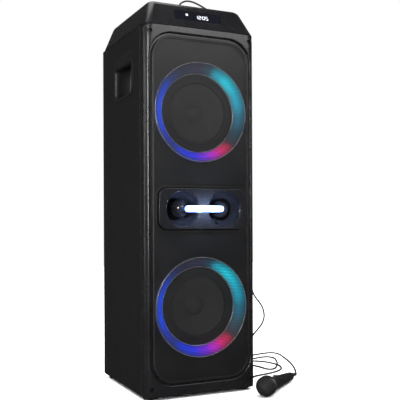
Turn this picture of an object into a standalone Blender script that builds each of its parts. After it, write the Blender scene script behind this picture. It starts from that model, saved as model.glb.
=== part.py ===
"""Tower party speaker with two ring-lit woofers, a tweeter panel and a wired microphone.

Metres, +Z up. The front faces -Y, +X is to the right of someone facing the front.
The origin is on the floor, under the middle of the cabinet.
"""
import math
import bpy
import bmesh
from mathutils import Matrix, Vector

# ------------------------------------------------------------------ driving sizes
W = 0.310            # cabinet width
YF = -0.158          # front plane of the bezel
YB = 0.176           # rear edge of the side panels
ZB = 0.009           # underside of the cabinet, the feet are below it
ZS = 0.931           # seam between the cabinet and the top moulding
ZT = 1.000           # flat top
T = 0.012            # panel thickness
GAP = 0.0003         # clearance between neighbouring pieces
R_CORNER = 0.020     # vertical front corners, seen from above
R_TOP = 0.030        # rounded upper edges of the top moulding
SLOPE = 0.037        # how far the sloped front of the top moulding leans back
SIDE_SLOPE = 0.0245  # how far its sides and back lean in
BEZEL_D = 0.030      # depth of the bezel

OPEN_X, OPEN_Z0, OPEN_Z1, OPEN_R = 0.141, 0.0345, 0.9125, 0.062   # pocket for the grille
GRILLE_X, GRILLE_Z0, GRILLE_Z1, GRILLE_R = 0.1350, 0.0405, 0.9065, 0.056
RING_Z = {"upper": 0.720, "lower": 0.2255}
RING_R, RING_RI = 0.1270, 0.1000
PANEL_Z, PANEL_X, PANEL_H, PANEL_R = 0.474, 0.121, 0.0517, 0.022
HORN_X, HORN_R = 0.0575, 0.0460

HANDLE_Y0, HANDLE_Y1, HANDLE_Z0, HANDLE_Z1 = -0.076, 0.073, 0.765, 0.884
PLUG_XY = (0.030, 0.050)
PLATE_Z = 0.9960     # upper face of the control plate

# microphone, lying on the floor
MIC_HEAD = Vector((0.1396, -0.2335, 0.0266))
MIC_TAIL = Vector((0.3155, -0.0930, 0.0125))
CORD_D = 0.0048

# ------------------------------------------------------------------ clean start
for _o in list(bpy.data.objects):
    bpy.data.objects.remove(_o, do_unlink=True)

PARTS = bpy.data.collections.new("party_speaker")
CUTS = bpy.data.collections.new("cutters")
bpy.context.scene.collection.children.link(PARTS)
bpy.context.scene.collection.children.link(CUTS)


# ------------------------------------------------------------------ materials
def material(name, rgb, rough, metal=0.0, glow=None):
    m = bpy.data.materials.new(name)
    m.use_nodes = True
    b = m.node_tree.nodes["Principled BSDF"]
    b.inputs["Base Color"].default_value = (*rgb, 1.0)
    b.inputs["Roughness"].default_value = rough
    b.inputs["Metallic"].default_value = metal
    if glow:
        b.inputs["Emission Color"].default_value = (*glow, 1.0)
        b.inputs["Emission Strength"].default_value = 1.0
    m.diffuse_color = (*rgb, 1.0)
    return m


BLACK = material("satin_black_plastic", (0.012, 0.012, 0.013), 0.42)
BOARD = material("black_vinyl_board", (0.014, 0.014, 0.015), 0.55)
GLOSS = material("gloss_black", (0.006, 0.006, 0.007), 0.08)
METAL_BLACK = material("black_steel", (0.02, 0.02, 0.021), 0.45, 0.6)
STEEL = material("steel", (0.55, 0.55, 0.56), 0.3, 1.0)
PAPER = material("paper_cone", (0.02, 0.02, 0.02), 0.8)
RUBBER = material("rubber", (0.012, 0.012, 0.012), 0.75)
DIFFUSER = material("ring_diffuser", (0.55, 0.57, 0.60), 0.4, 0.0, (0.05, 0.25, 0.9))
BAR = material("bar_diffuser", (0.9, 0.93, 1.0), 0.3, 0.0, (0.6, 0.75, 1.0))
GREEN = material("circuit_board", (0.02, 0.12, 0.05), 0.5)
MDF = material("fibreboard", (0.32, 0.22, 0.13), 0.8)


# ------------------------------------------------------------------ helpers
def place(obj, mat=None, cutter=False):
    (CUTS if cutter else PARTS).objects.link(obj)
    if cutter:
        obj.hide_render = True
        obj.display_type = "WIRE"
    elif mat:
        obj.data.materials.append(mat)
    return obj


def mesh_object(bm, name, mat=None, cutter=False, smooth=None):
    me = bpy.data.meshes.new(name)
    bm.to_mesh(me)
    bm.free()
    obj = bpy.data.objects.new(name, me)
    place(obj, mat, cutter)
    if smooth:
        me.shade_smooth()
        me.set_sharp_from_angle(angle=math.radians(smooth))
    return obj


def box(name, x, y, z, mat=None, cutter=False, bevel=0.0, seg=2):
    """Box between the limits x=(lo,hi), y, z, with optional rounded edges."""
    bm = bmesh.new()
    bmesh.ops.create_cube(bm, size=1.0)
    size = Vector((x[1] - x[0], y[1] - y[0], z[1] - z[0]))
    mid = Vector(((x[0] + x[1]) / 2, (y[0] + y[1]) / 2, (z[0] + z[1]) / 2))
    for v in bm.verts:
        v.co = Vector((v.co.x * size.x, v.co.y * size.y, v.co.z * size.z)) + mid
    obj = mesh_object(bm, name, mat, cutter)
    if bevel:
        b = obj.modifiers.new("edges", "BEVEL")
        b.width = bevel
        b.segments = seg
    return obj


def rounded_rect(cx, cy, hx, hy, r, seg=6):
    pts = []
    for sx, sy, a0 in ((1, 1, 0), (-1, 1, 90), (-1, -1, 180), (1, -1, 270)):
        for i in range(seg + 1):
            a = math.radians(a0 + 90 * i / seg)
            pts.append((cx + sx * (hx - r) + r * math.cos(a), cy + sy * (hy - r) + r * math.sin(a)))
    return pts


def circle(cx, cy, r, n=32):
    return [(cx + r * math.cos(2 * math.pi * i / n), cy + r * math.sin(2 * math.pi * i / n)) for i in range(n)]


def flat(name, outlines, lo, hi, plane="XZ", mat=None, cutter=False):
    """Flat outline (first loop) with holes (other loops), thick from lo to hi across the plane."""
    cu = bpy.data.curves.new(name, "CURVE")
    cu.dimensions = "2D"
    cu.fill_mode = "BOTH"
    cu.extrude = (hi - lo) / 2
    for loop in outlines:
        sp = cu.splines.new("POLY")
        sp.points.add(len(loop) - 1)
        for p, (u, v) in zip(sp.points, loop):
            p.co = (u, v, 0, 1)
        sp.use_cyclic_u = True
    tmp = bpy.data.objects.new(name + "_outline", cu)
    bpy.context.scene.collection.objects.link(tmp)
    mid = (lo + hi) / 2
    if plane == "XZ":      # outline u->X, v->Z, thickness along Y
        tmp.matrix_world = Matrix(((1, 0, 0, 0), (0, 0, -1, mid), (0, 1, 0, 0), (0, 0, 0, 1)))
    elif plane == "YZ":    # u->Y, v->Z, thickness along X
        tmp.matrix_world = Matrix(((0, 0, 1, mid), (1, 0, 0, 0), (0, 1, 0, 0), (0, 0, 0, 1)))
    else:                  # XY, thickness along Z
        tmp.matrix_world = Matrix.Translation((0, 0, mid))
    bpy.context.view_layer.update()
    dg = bpy.context.evaluated_depsgraph_get()
    me = bpy.data.meshes.new_from_object(tmp.evaluated_get(dg))
    me.transform(tmp.matrix_world)
    bpy.data.objects.remove(tmp, do_unlink=True)
    bm = bmesh.new()
    bm.from_mesh(me)
    bpy.data.meshes.remove(me)
    bmesh.ops.remove_doubles(bm, verts=bm.verts, dist=1e-5)
    bmesh.ops.recalc_face_normals(bm, faces=bm.faces)
    return mesh_object(bm, name, mat, cutter)


def turned(name, profile, centre, axis, mat=None, closed=True, steps=32, cutter=False, smooth=35):
    """Profile of (radius, height) turned about the axis through the centre.

    The profile runs down its outer side, so that the surface faces out.
    """
    bm = bmesh.new()
    vs = [bm.verts.new((r, 0, h)) for r, h in profile]
    for a, b in zip(vs, vs[1:]):
        bm.edges.new((a, b))
    if closed:
        bm.edges.new((vs[-1], vs[0]))
    obj = mesh_object(bm, name, mat, cutter)
    s = obj.modifiers.new("turn", "SCREW")
    s.axis = "Z"
    s.angle = 2 * math.pi
    s.steps = steps
    s.render_steps = steps
    s.use_merge_vertices = True
    s.merge_threshold = 1e-5
    s.use_smooth_shade = True
    obj.matrix_world = Matrix.Translation(centre) @ Vector(axis).to_track_quat("Z", "Y").to_matrix().to_4x4()
    return obj


def cut(obj, *cutters):
    for c in cutters:
        m = obj.modifiers.new("cut", "BOOLEAN")
        m.operation = "DIFFERENCE"
        m.solver = "EXACT"
        m.object = c
    return obj


def join(obj, *others):
    for c in others:
        m = obj.modifiers.new("join", "BOOLEAN")
        m.operation = "UNION"
        m.solver = "EXACT"
        m.object = c
    return obj


FRONT = (0, -1, 0)
UP = (0, 0, 1)


def from_front(profile):
    """Profile of (radius, depth behind the bezel's front plane) as (radius, height towards -Y)."""
    return [(r, -d) for r, d in profile]


def smooth_route(points, per=16):
    """Centripetal Catmull-Rom curve through the route's own points."""
    p = [Vector(q) for q in points]
    p = [p[0] * 2 - p[1]] + p + [p[-1] * 2 - p[-2]]
    out = []
    for i in range(1, len(p) - 2):
        a, b, c, d = p[i - 1:i + 3]
        t0 = 0.0
        t1 = t0 + max((b - a).length, 1e-6) ** 0.5
        t2 = t1 + max((c - b).length, 1e-6) ** 0.5
        t3 = t2 + max((d - c).length, 1e-6) ** 0.5
        for k in range(per):
            t = t1 + (t2 - t1) * k / per
            a1 = a * ((t1 - t) / (t1 - t0)) + b * ((t - t0) / (t1 - t0))
            a2 = b * ((t2 - t) / (t2 - t1)) + c * ((t - t1) / (t2 - t1))
            a3 = c * ((t3 - t) / (t3 - t2)) + d * ((t - t2) / (t3 - t2))
            b1 = a1 * ((t2 - t) / (t2 - t0)) + a2 * ((t - t0) / (t2 - t0))
            b2 = a2 * ((t3 - t) / (t3 - t1)) + a3 * ((t - t1) / (t3 - t1))
            out.append(b1 * ((t2 - t) / (t2 - t1)) + b2 * ((t - t1) / (t2 - t1)))
    out.append(p[-2])
    return out


def resample(pts, n):
    """n points, closer together where the route bends."""
    w = [0.0]
    for i in range(1, len(pts)):
        d = (pts[i] - pts[i - 1]).length
        bend = 0.0
        if 1 < i < len(pts) - 1:
            u, v = pts[i] - pts[i - 1], pts[i + 1] - pts[i]
            if u.length > 1e-7 and v.length > 1e-7:
                bend = u.angle(v) / d
        w.append(w[-1] + d * (1.0 + min(bend, 40.0) / 9.0))
    out, j = [], 0
    for k in range(n):
        t = w[-1] * k / (n - 1)
        while j < len(w) - 2 and w[j + 1] < t:
            j += 1
        f = 0.0 if w[j + 1] == w[j] else (t - w[j]) / (w[j + 1] - w[j])
        out.append(pts[j].lerp(pts[j + 1], min(max(f, 0.0), 1.0)))
    return out


# ================================================================== CABINET
YP0 = YF + BEZEL_D + GAP            # front edge of the side panels, behind the bezel

for side, sx in (("left", -1), ("right", 1)):
    x0, x1 = sorted((sx * W / 2, sx * (W / 2 - T)))
    panel = box(side + "_side_panel", (x0, x1), (YP0, YB), (ZB, ZS - GAP), BOARD, bevel=0.0015, seg=1)
    hole = flat("cut_" + side + "_handle", [rounded_rect((HANDLE_Y0 + HANDLE_Y1) / 2, (HANDLE_Z0 + HANDLE_Z1) / 2,
                (HANDLE_Y1 - HANDLE_Y0) / 2 - 0.004, (HANDLE_Z1 - HANDLE_Z0) / 2 - 0.004, 0.026)],
                x0 - 0.01, x1 + 0.01, "YZ", cutter=True)
    cut(panel, hole)

XI = W / 2 - T - GAP                # half-width between the side panels
box("bottom_panel", (-XI, XI), (YF + 0.042, 0.1597), (ZB, ZB + T), MDF)
box("middle_shelf", (-XI, XI), (YF + 0.042, 0.1597), (0.380, 0.392), MDF)

PORT_Z = {"upper": 0.560, "lower": 0.340}
PORT_R = 0.0330
port_holes = [circle(0.0, z, PORT_R + 0.0030, 28) for z in PORT_Z.values()]
RP = (0.0, 0.150, 0.080, 0.060)     # rear plate: centre x, z, half-width, half-height
back_outline = rounded_rect(0, (ZB + ZS) / 2, XI, (ZS - ZB) / 2 - GAP, 0.0008, 1)
flat("back_panel", [back_outline] + port_holes + [rounded_rect(RP[0], RP[1], RP[2] - 0.008, RP[3] - 0.008, 0.004, 3)],
     0.1600, 0.1720, "XZ", MDF)

baffle_outline = rounded_rect(0, (ZB + T + ZS) / 2, XI, (ZS - ZB - T) / 2 - 0.001, 0.0008, 1)
flat("baffle_board",
     [baffle_outline] + [circle(0, z, 0.0905, 32) for z in RING_Z.values()]
     + [rounded_rect(0, PANEL_Z, 0.098, 0.036, 0.008, 3)],
     YF + BEZEL_D + GAP, YF + BEZEL_D + GAP + 0.0115, "XZ", MDF)

# feet
for name, fx, fy in (("front_left_foot", -1, -1), ("front_right_foot", 1, -1),
                     ("rear_left_foot", -1, 1), ("rear_right_foot", 1, 1)):
    cx = fx * (W / 2 - 0.024)
    cy = YF + 0.034 if fy < 0 else YB - 0.030
    turned(name, [(0.0, ZB - GAP), (0.0175, ZB - GAP), (0.0160, 0.0), (0.0, 0.0)],
           (cx, cy, 0), UP, RUBBER, closed=False, steps=18)

# ================================================================== TOP MOULDING
def cap_block(name, inset, z0, z1, mat=None, cutter=False, seg=4):
    """Block with a sloped front, rounded corners and rounded upper edges."""
    hx0, hx1 = W / 2 + SIDE_SLOPE * (ZS - z0) / (ZT - ZS) - inset, W / 2 - SIDE_SLOPE * (z1 - ZS) / (ZT - ZS) - inset
    yb0, yb1 = YB + SIDE_SLOPE * (ZS - z0) / (ZT - ZS) - inset, YB - SIDE_SLOPE * (z1 - ZS) / (ZT - ZS) - inset
    yf0 = YF - SLOPE * (ZS - z0) / (ZT - ZS) + inset * 1.12
    yf1 = YF + SLOPE * (z1 - ZS) / (ZT - ZS) + inset * 1.12
    bm = bmesh.new()
    bmesh.ops.create_cube(bm, size=1.0)
    for v in bm.verts:
        top = v.co.z > 0
        v.co = Vector(((hx1 if top else hx0) * (1 if v.co.x > 0 else -1),
                       (yb1 if top else yb0) if v.co.y > 0 else (yf1 if top else yf0), z1 if top else z0))
    wl = bm.edges.layers.float.get("bevel_weight_edge") or bm.edges.layers.float.new("bevel_weight_edge")
    for e in bm.edges:
        a, b = e.verts[0].co, e.verts[1].co
        if abs(a.z - z0) < 1e-6 and abs(b.z - z0) < 1e-6:
            e[wl] = 0.0
        elif abs(a.z - z1) < 1e-6 and abs(b.z - z1) < 1e-6:
            e[wl] = 0.40 if (a.y < yf1 + 1e-6 and b.y < yf1 + 1e-6) else 0.60
        else:
            e[wl] = 0.667
    obj = mesh_object(bm, name, mat, cutter)
    b = obj.modifiers.new("edges", "BEVEL")
    b.limit_method = "WEIGHT"
    b.width = R_TOP if not inset else R_TOP - inset * 1.5
    b.segments = seg
    obj.modifiers.new("flat_faces", "TRIANGULATE")
    return obj


PX0, PX1, PY0, PY1 = -0.1050, 0.1050, -0.1060, 0.0820     # control plate
cap = cap_block("top_cap", 0.0, ZS, ZT, BLACK)
cap_in = cap_block("cut_cap_inside", 0.004, ZS - 0.02, ZT - 0.0065, cutter=True, seg=3)
plate_hole = flat("cut_plate", [rounded_rect((PX0 + PX1) / 2, (PY0 + PY1) / 2, (PX1 - PX0) / 2, (PY1 - PY0) / 2, 0.010, 3)],
                  0.90, 1.10, "XY", cutter=True)
# pocket for the display window in the sloped front
SL = Vector((0, SLOPE, ZT - ZS)).normalized()              # up the slope
SN = Vector((0, -SL.z, SL.y))                              # out of the slope
SLOPE_C = Vector((0, YF, ZS)) + SL * 0.0385                # centre of the window
SLOPE_M = Matrix((
    (1, SL.x, SN.x, SLOPE_C.x), (0, SL.y, SN.y, SLOPE_C.y), (0, SL.z, SN.z, SLOPE_C.z), (0, 0, 0, 1)))
DISP = (0.0660, 0.0165, 0.006)      # half-width, half-height, corner radius


def on_slope(name, hx, hy, r, lo, hi, mat=None, cutter=False):
    o = flat(name, [rounded_rect(0, 0, hx, hy, r, 3)], lo, hi, "XY", mat, cutter)
    o.matrix_world = SLOPE_M
    return o


disp_hole = on_slope("cut_display", DISP[0], DISP[1], DISP[2], -0.02, 0.02, cutter=True)
cut(cap, cap_in, plate_hole, disp_hole)
on_slope("display_window", DISP[0] - GAP, DISP[1] - GAP, DISP[2], -0.0030, -0.0004, GLOSS)

# ================================================================== BEZEL AND GRILLE
bezel_plan = [(-W / 2, YF + BEZEL_D)]
for i in range(7):
    a = math.radians(180 + 90 * i / 6)
    bezel_plan.append((-W / 2 + R_CORNER + R_CORNER * math.cos(a), YF + R_CORNER + R_CORNER * math.sin(a)))
for i in range(7):
    a = math.radians(270 + 90 * i / 6)
    bezel_plan.append((W / 2 - R_CORNER + R_CORNER * math.cos(a), YF + R_CORNER + R_CORNER * math.sin(a)))
bezel_plan.append((W / 2, YF + BEZEL_D))
bezel = flat("front_bezel", [bezel_plan], ZB, ZS - GAP, "XY", BLACK)
zc, zh = (OPEN_Z0 + OPEN_Z1) / 2, (OPEN_Z1 - OPEN_Z0) / 2
pocket = flat("cut_pocket", [rounded_rect(0, zc, OPEN_X, zh, OPEN_R)], YF - 0.02, YF + 0.0050, "XZ", cutter=True)
hollow = flat("cut_hollow", [rounded_rect(0, zc, 0.1300, zh - 0.006, 0.040, 4)], YF + 0.0080, YF + 0.06, "XZ", cutter=True)
rings_up = turned("cut_ring_upper", [(0.0, 0.1), (RING_R + 0.0005, 0.1), (RING_R + 0.0005, -0.1), (0.0, -0.1)],
                  (0, YF, RING_Z["upper"]), FRONT, closed=False, steps=36, cutter=True)
rings_lo = turned("cut_ring_lower", [(0.0, 0.1), (RING_R + 0.0005, 0.1), (RING_R + 0.0005, -0.1), (0.0, -0.1)],
                  (0, YF, RING_Z["lower"]), FRONT, closed=False, steps=36, cutter=True)
panel_hole = flat("cut_web_panel", [rounded_rect(0, PANEL_Z, 0.1120, 0.0475, 0.016, 3)], YF - 0.02, YF + 0.02, "XZ", cutter=True)
cut(bezel, pocket, hollow, rings_up, rings_lo, panel_hole)
SCREWS = (("top_left_screw", -0.1375, 0.9130), ("top_right_screw", 0.1375, 0.9130),
          ("bottom_left_screw", -0.1375, 0.0290), ("bottom_right_screw", 0.1375, 0.0290))
for name, sx, sz in SCREWS:
    bore = turned("cut_" + name, [(0.0, 0.02), (0.0050, 0.02), (0.0050, -0.0080), (0.0022, -0.0080), (0.0022, -0.06), (0.0, -0.06)],
                  (sx, YF, sz), FRONT, closed=False, steps=16, cutter=True)
    cut(bezel, bore)
    turned(name, from_front([(0.0, 0.0052), (0.0022, 0.0052), (0.0040, 0.0062), (0.0040, 0.0077), (0.0017, 0.0077), (0.0017, 0.0290), (0.0, 0.0295)]),
           (sx, YF, sz), FRONT, METAL_BLACK, closed=False, steps=14)

gz, gh = (GRILLE_Z0 + GRILLE_Z1) / 2, (GRILLE_Z1 - GRILLE_Z0) / 2
grille = flat("front_grille",
              [rounded_rect(0, gz, GRILLE_X, gh, GRILLE_R),
               rounded_rect(0, PANEL_Z, PANEL_X + 0.0012, PANEL_H + 0.0012, PANEL_R, 4)],
              YF - 0.0040, YF + 0.0044, "XZ", METAL_BLACK)
grille_in = flat("cut_grille_inside",
                 [rounded_rect(0, gz, GRILLE_X - 0.0016, gh - 0.0016, GRILLE_R - 0.0016),
                  rounded_rect(0, PANEL_Z, PANEL_X + 0.0028, PANEL_H + 0.0028, PANEL_R, 4)],
                 YF - 0.0028, YF + 0.02, "XZ", cutter=True)
cut(grille, grille_in)

# ================================================================== WOOFERS AND RING LIGHTS
for n, z in RING_Z.items():
    c = (0, YF, z)
    turned(n + "_light_ring", from_front([
        (0.1270, 0.0012), (0.1268, 0.0100), (0.1040, 0.0272), (0.1000, 0.0272),
        (0.1000, 0.0240), (0.1120, 0.0140)]),
        c, FRONT, DIFFUSER, steps=32)
    basket = turned(n + "_woofer_basket", from_front([
        (0.0985, 0.0245), (0.0985, 0.0272), (0.0885, 0.0272), (0.0800, 0.0500), (0.0500, 0.0752), (0.0200, 0.0752),
        (0.0200, 0.0722), (0.0470, 0.0700), (0.0765, 0.0485), (0.0850, 0.0245)]),
        c, FRONT, METAL_BLACK, steps=24)
    for k in range(3):
        w = box("cut_%s_window_%d" % (n, k), (-0.2, 0.2), (-0.0655, -0.0350), (-0.0165, 0.0165), cutter=True)
        # cutter's own Y is the height along the axis here
        w.matrix_world = Matrix.Translation(c) @ Matrix.Rotation(math.radians(30 + 60 * k), 4, "Y") @ Matrix.Scale(-1, 4, (0, 1, 0))
        w.data.transform(Matrix.Scale(-1, 4, (0, 1, 0)))
        w.data.flip_normals()
        w.matrix_world = Matrix.Translation(c) @ Matrix.Rotation(math.radians(30 + 60 * k), 4, "Y")
        cut(basket, w)
    turned(n + "_surround", from_front([
        (0.0980, 0.0224), (0.0980, 0.0241), (0.0842, 0.0241), (0.0800, 0.0205), (0.0765, 0.0255), (0.0752, 0.0255),
        (0.0760, 0.0205), (0.0800, 0.0185), (0.0840, 0.0205), (0.0852, 0.0224)]),
        c, FRONT, RUBBER, steps=24)
    turned(n + "_cone", from_front([
        (0.0, 0.0370), (0.0150, 0.0395), (0.0255, 0.0480), (0.0520, 0.0370), (0.0735, 0.0240), (0.0745, 0.0240),
        (0.0745, 0.0262), (0.0530, 0.0392), (0.0182, 0.0560), (0.0182, 0.0760), (0.0172, 0.0760), (0.0172, 0.0540),
        (0.0, 0.0500)]),
        c, FRONT, PAPER, closed=False, steps=24)
    turned(n + "_magnet", from_front([
        (0.0, 0.0700), (0.0150, 0.0700), (0.0150, 0.0950), (0.0200, 0.0950), (0.0200, 0.0756), (0.0500, 0.0756), (0.0500, 0.1010), (0.0, 0.1010)]),
        c, FRONT, STEEL, closed=False, steps=24)

# ================================================================== TWEETER PANEL
tp = flat("tweeter_panel", [rounded_rect(0, PANEL_Z, PANEL_X, PANEL_H, PANEL_R, 5),
                            circle(-HORN_X, PANEL_Z, HORN_R + 0.0004, 36), circle(HORN_X, PANEL_Z, HORN_R + 0.0004, 36)],
          YF - 0.0120, YF - 0.0046, "XZ", BLACK)
tp_skirt = flat("join_panel_skirt", [rounded_rect(0, PANEL_Z, PANEL_X - 0.0006, PANEL_H - 0.0006, PANEL_R, 4),
                                     rounded_rect(0, PANEL_Z, PANEL_X - 0.0030, PANEL_H - 0.0030, PANEL_R - 0.002, 4)],
                YF - 0.0065, YF + 0.0047, "XZ", cutter=True)
join(tp, tp_skirt)
for n, sx in (("left", -1), ("right", 1)):
    c = (sx * HORN_X, YF, PANEL_Z)
    turned(n + "_horn", from_front([
        (0.0458, -0.0114), (0.0456, -0.0020), (0.0420, 0.0090), (0.0300, 0.0280), (0.0180, 0.0350), (0.0175, 0.0410), (0.0140, 0.0410),
        (0.0142, 0.0350), (0.0270, 0.0268), (0.0395, 0.0080)]),
        c, FRONT, GLOSS, steps=24)
    bulb = [(0.0, -0.0075)]
    for k in range(1, 6):
        a = math.radians(90 - 30 * k)
        bulb.append((0.0230 * math.cos(a), 0.0155 - 0.0230 * math.sin(a)))
    bulb += [(0.0060, 0.0390), (0.0060, 0.0414), (0.0310, 0.0414), (0.0310, 0.0660), (0.0, 0.0660)]
    turned(n + "_tweeter", from_front(bulb), c, FRONT, GLOSS, closed=False, steps=20)
lb = flat("light_bar", [rounded_rect(0, PANEL_Z, 0.0540, 0.0082, 0.0080, 5)], YF - 0.0180, YF - 0.0123, "XZ", BAR)

# ================================================================== HANDLE CUPS
for side, sx in (("left", -1), ("right", 1)):
    yc, zcn = (HANDLE_Y0 + HANDLE_Y1) / 2, (HANDLE_Z0 + HANDLE_Z1) / 2
    hy, hz = (HANDLE_Y1 - HANDLE_Y0) / 2, (HANDLE_Z1 - HANDLE_Z0) / 2
    xo = W / 2

    def xr(a, b):
        return tuple(sorted((sx * a, sx * b)))
    body = flat(side + "_handle_cup", [rounded_rect(yc, zcn, hy - 0.0044, hz - 0.0044, 0.0255)], *xr(xo - 0.050, xo + 0.0003), plane="YZ", mat=BLACK)
    flange = flat("join_%s_flange" % side, [rounded_rect(yc, zcn, hy, hz, 0.030)], *xr(xo + 0.0003 - 0.00002, xo + 0.0015), plane="YZ", cutter=True)
    # the mouth below the grip, and the finger space that rises behind the grip
    mouth = box("cut_%s_mouth" % side, xr(xo - 0.020, xo + 0.02), (yc - hy + 0.011, yc + hy - 0.011), (HANDLE_Z0 + 0.011, 0.8530), cutter=True, bevel=0.006, seg=2)
    inner = box("cut_%s_inner" % side, xr(xo - 0.0472, xo - 0.0125), (yc - hy + 0.0085, yc + hy - 0.0085), (HANDLE_Z0 + 0.0085, HANDLE_Z1 - 0.0085), cutter=True, bevel=0.006, seg=2)
    join(body, flange)
    cut(body, mouth, inner)

# ================================================================== CONTROLS ON TOP
KNOBS = (("volume_knob", -0.060, -0.010, 0.0190), ("mic_level_knob", -0.072, 0.050, 0.0110), ("echo_knob", -0.034, 0.050, 0.0110))
BUTTONS = (("power_button", -0.080), ("mode_button", -0.040), ("previous_button", 0.0), ("next_button", 0.040), ("lights_button", 0.080))
BUTTON_Y = -0.072
SOCKETS = (("mic_socket_1", PLUG_XY[0], PLUG_XY[1]), ("mic_socket_2", 0.066, 0.050))
loops = [rounded_rect((PX0 + PX1) / 2, (PY0 + PY1) / 2, (PX1 - PX0) / 2 - GAP, (PY1 - PY0) / 2 - GAP, 0.010, 3)]
for name, bx in BUTTONS:
    loops.append(rounded_rect(bx, BUTTON_Y, 0.0125, 0.0065, 0.0006, 1))
for name, kx, ky, kr in KNOBS:
    loops.append(circle(kx, ky, 0.0042, 12))
for name, kx, ky in SOCKETS:
    loops.append(circle(kx, ky, 0.0082, 16))
USB = (0.050, -0.012)
loops.append(rounded_rect(USB[0], USB[1], 0.0095, 0.0055, 0.0004, 1))
flat("control_plate", loops, PLATE_Z - 0.0030, PLATE_Z, "XY", BLACK)

for name, bx in BUTTONS:
    box(name, (bx - 0.0120, bx + 0.0120), (BUTTON_Y - 0.0060, BUTTON_Y + 0.0060), (PLATE_Z - 0.0060, PLATE_Z + 0.0022), RUBBER, bevel=0.0012, seg=1)
for name, kx, ky, kr in KNOBS:
    h = 0.0150 if kr > 0.015 else 0.0130
    z = PLATE_Z
    k = turned(name, [(0.0, z + h), (kr * 0.86, z + h), (kr * 0.97, z + h - 0.0015), (kr, z + 0.0006), (kr * 0.80, z + 0.0004), (0.0035, z + 0.0004),
                      (0.0035, z - 0.0140), (0.0, z - 0.0140)], (kx, ky, 0), UP, BLACK, closed=False, steps=24)
    line = box("cut_%s_line" % name, (kx - 0.0008, kx + 0.0008), (ky - kr * 0.80, ky - kr * 0.25), (z + h - 0.0007, z + h + 0.01), cutter=True)
    cut(k, line)
for name, kx, ky in SOCKETS:
    z = PLATE_Z
    turned(name, [(0.0060, z + 0.0014), (0.0075, z + 0.0008), (0.0078, z - 0.0200), (0.0048, z - 0.0300), (0.0034, z - 0.0300), (0.0034, z + 0.0014)],
           (kx, ky, 0), UP, STEEL, steps=20)
usb = box("usb_socket", (USB[0] - 0.0090, USB[0] + 0.0090), (USB[1] - 0.0050, USB[1] + 0.0050), (PLATE_Z - 0.0160, PLATE_Z + 0.0004), STEEL)
usb_in = box("cut_usb", (USB[0] - 0.0064, USB[0] + 0.0064), (USB[1] - 0.0026, USB[1] + 0.0026), (PLATE_Z - 0.0150, PLATE_Z + 0.01), cutter=True)
cut(usb, usb_in)

# ================================================================== ELECTRONICS AND REAR
box("amplifier_board", (-0.060, 0.060), (0.080, 0.150), (0.0960, 0.0980), GREEN)
box("transformer", (-0.045, 0.045), (0.080, 0.150), (ZB + T + 0.0004, 0.086), STEEL, bevel=0.003, seg=1)
rear = flat("rear_plate", [rounded_rect(RP[0], RP[1], RP[2], RP[3], 0.008, 4),
                           rounded_rect(-0.040, 0.128, 0.0136, 0.0086, 0.0003, 1),
                           rounded_rect(0.020, 0.128, 0.0105, 0.0075, 0.0004, 1)],
            0.1723, 0.1745, "XZ", BLACK)
inlet = box("mains_inlet", (-0.0532, -0.0268), (0.1520, 0.1743), (0.1198, 0.1362), BLACK)
inlet_in = box("cut_inlet", (-0.0500, -0.0300), (0.1600, 0.19), (0.1230, 0.1330), cutter=True, bevel=0.0025, seg=2)
cut(inlet, inlet_in)
# rocker: two faces that meet in a shallow V, resting on its first side
ry, rz, ra = 0.1660, 0.128, math.radians(-5)
rocker = [(0.0082, 0.0062), (0.0074, 0.0), (0.0082, -0.0062), (0.0, -0.0058), (0.0, 0.0058)]
flat("power_rocker", [[(ry + u * math.cos(ra) - v * math.sin(ra), rz + u * math.sin(ra) + v * math.cos(ra)) for u, v in rocker]],
     0.0102, 0.0298, "YZ", RUBBER)

for n, z in PORT_Z.items():
    turned(n + "_bass_port", [(PORT_R + 0.0024, -0.0700), (PORT_R + 0.0024, -0.1723), (PORT_R + 0.0100, -0.1723), (PORT_R + 0.0085, -0.1752),
                              (PORT_R + 0.0030, -0.1757), (PORT_R - 0.0005, -0.1700), (PORT_R - 0.0005, -0.0700)],
           (0, 0, z), FRONT, BLACK, steps=24)

# ================================================================== MICROPHONE, PLUG AND CORD
axis = (MIC_TAIL - MIC_HEAD).normalized()
mic_len = (MIC_TAIL - MIC_HEAD).length
MIC_Q = Matrix.Translation(MIC_HEAD) @ axis.to_track_quat("Z", "Y").to_matrix().to_4x4()
# the quaternion's local frame: +Z along the handle, find the local direction that points up
up_local = (MIC_Q.to_3x3().inverted() @ Vector((0, 0, 1)))
up_local.z = 0
up_ang = math.atan2(up_local.y, up_local.x)


def along(name, profile, mat, closed=False, steps=24):
    o = turned(name, profile, (0, 0, 0), UP, mat, closed=closed, steps=steps)
    o.matrix_world = MIC_Q
    return o


ball = [(0.0, -0.0250)]
for k in range(1, 6):
    a = math.radians(-90 + 22 * k)
    ball.append((0.0250 * math.cos(a), 0.0250 * math.sin(a)))
ball += [(0.0248, 0.0085), (0.0256, 0.0095), (0.0256, 0.0135), (0.0225, 0.0200), (0.0, 0.0200)]
along("mic_head", ball[::-1], METAL_BLACK)
handle = along("mic_handle", [
    (0.0, 0.0203), (0.0205, 0.0203), (0.0215, 0.0240), (0.0190, 0.0330), (0.0170, 0.0500), (0.0150, 0.1000), (0.0125, 0.1600), (0.0110, 0.1880), (0.0095, 0.1920),
    (0.0062, 0.1935), (0.0052, mic_len - 0.0010), (0.0046, mic_len), (0.0, mic_len)][::-1], BLACK)
# slide switch on the upper side of the handle
SW = Matrix.Rotation(up_ang, 4, "Z")


def switch_box(name, along_lo, along_hi, half, lo, hi, mat=None, cutter=False, bevel=0.0):
    o = box(name, (lo, hi), (-half, half), (along_lo, along_hi), mat, cutter, bevel, 1)
    o.matrix_world = MIC_Q @ SW
    return o


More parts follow.
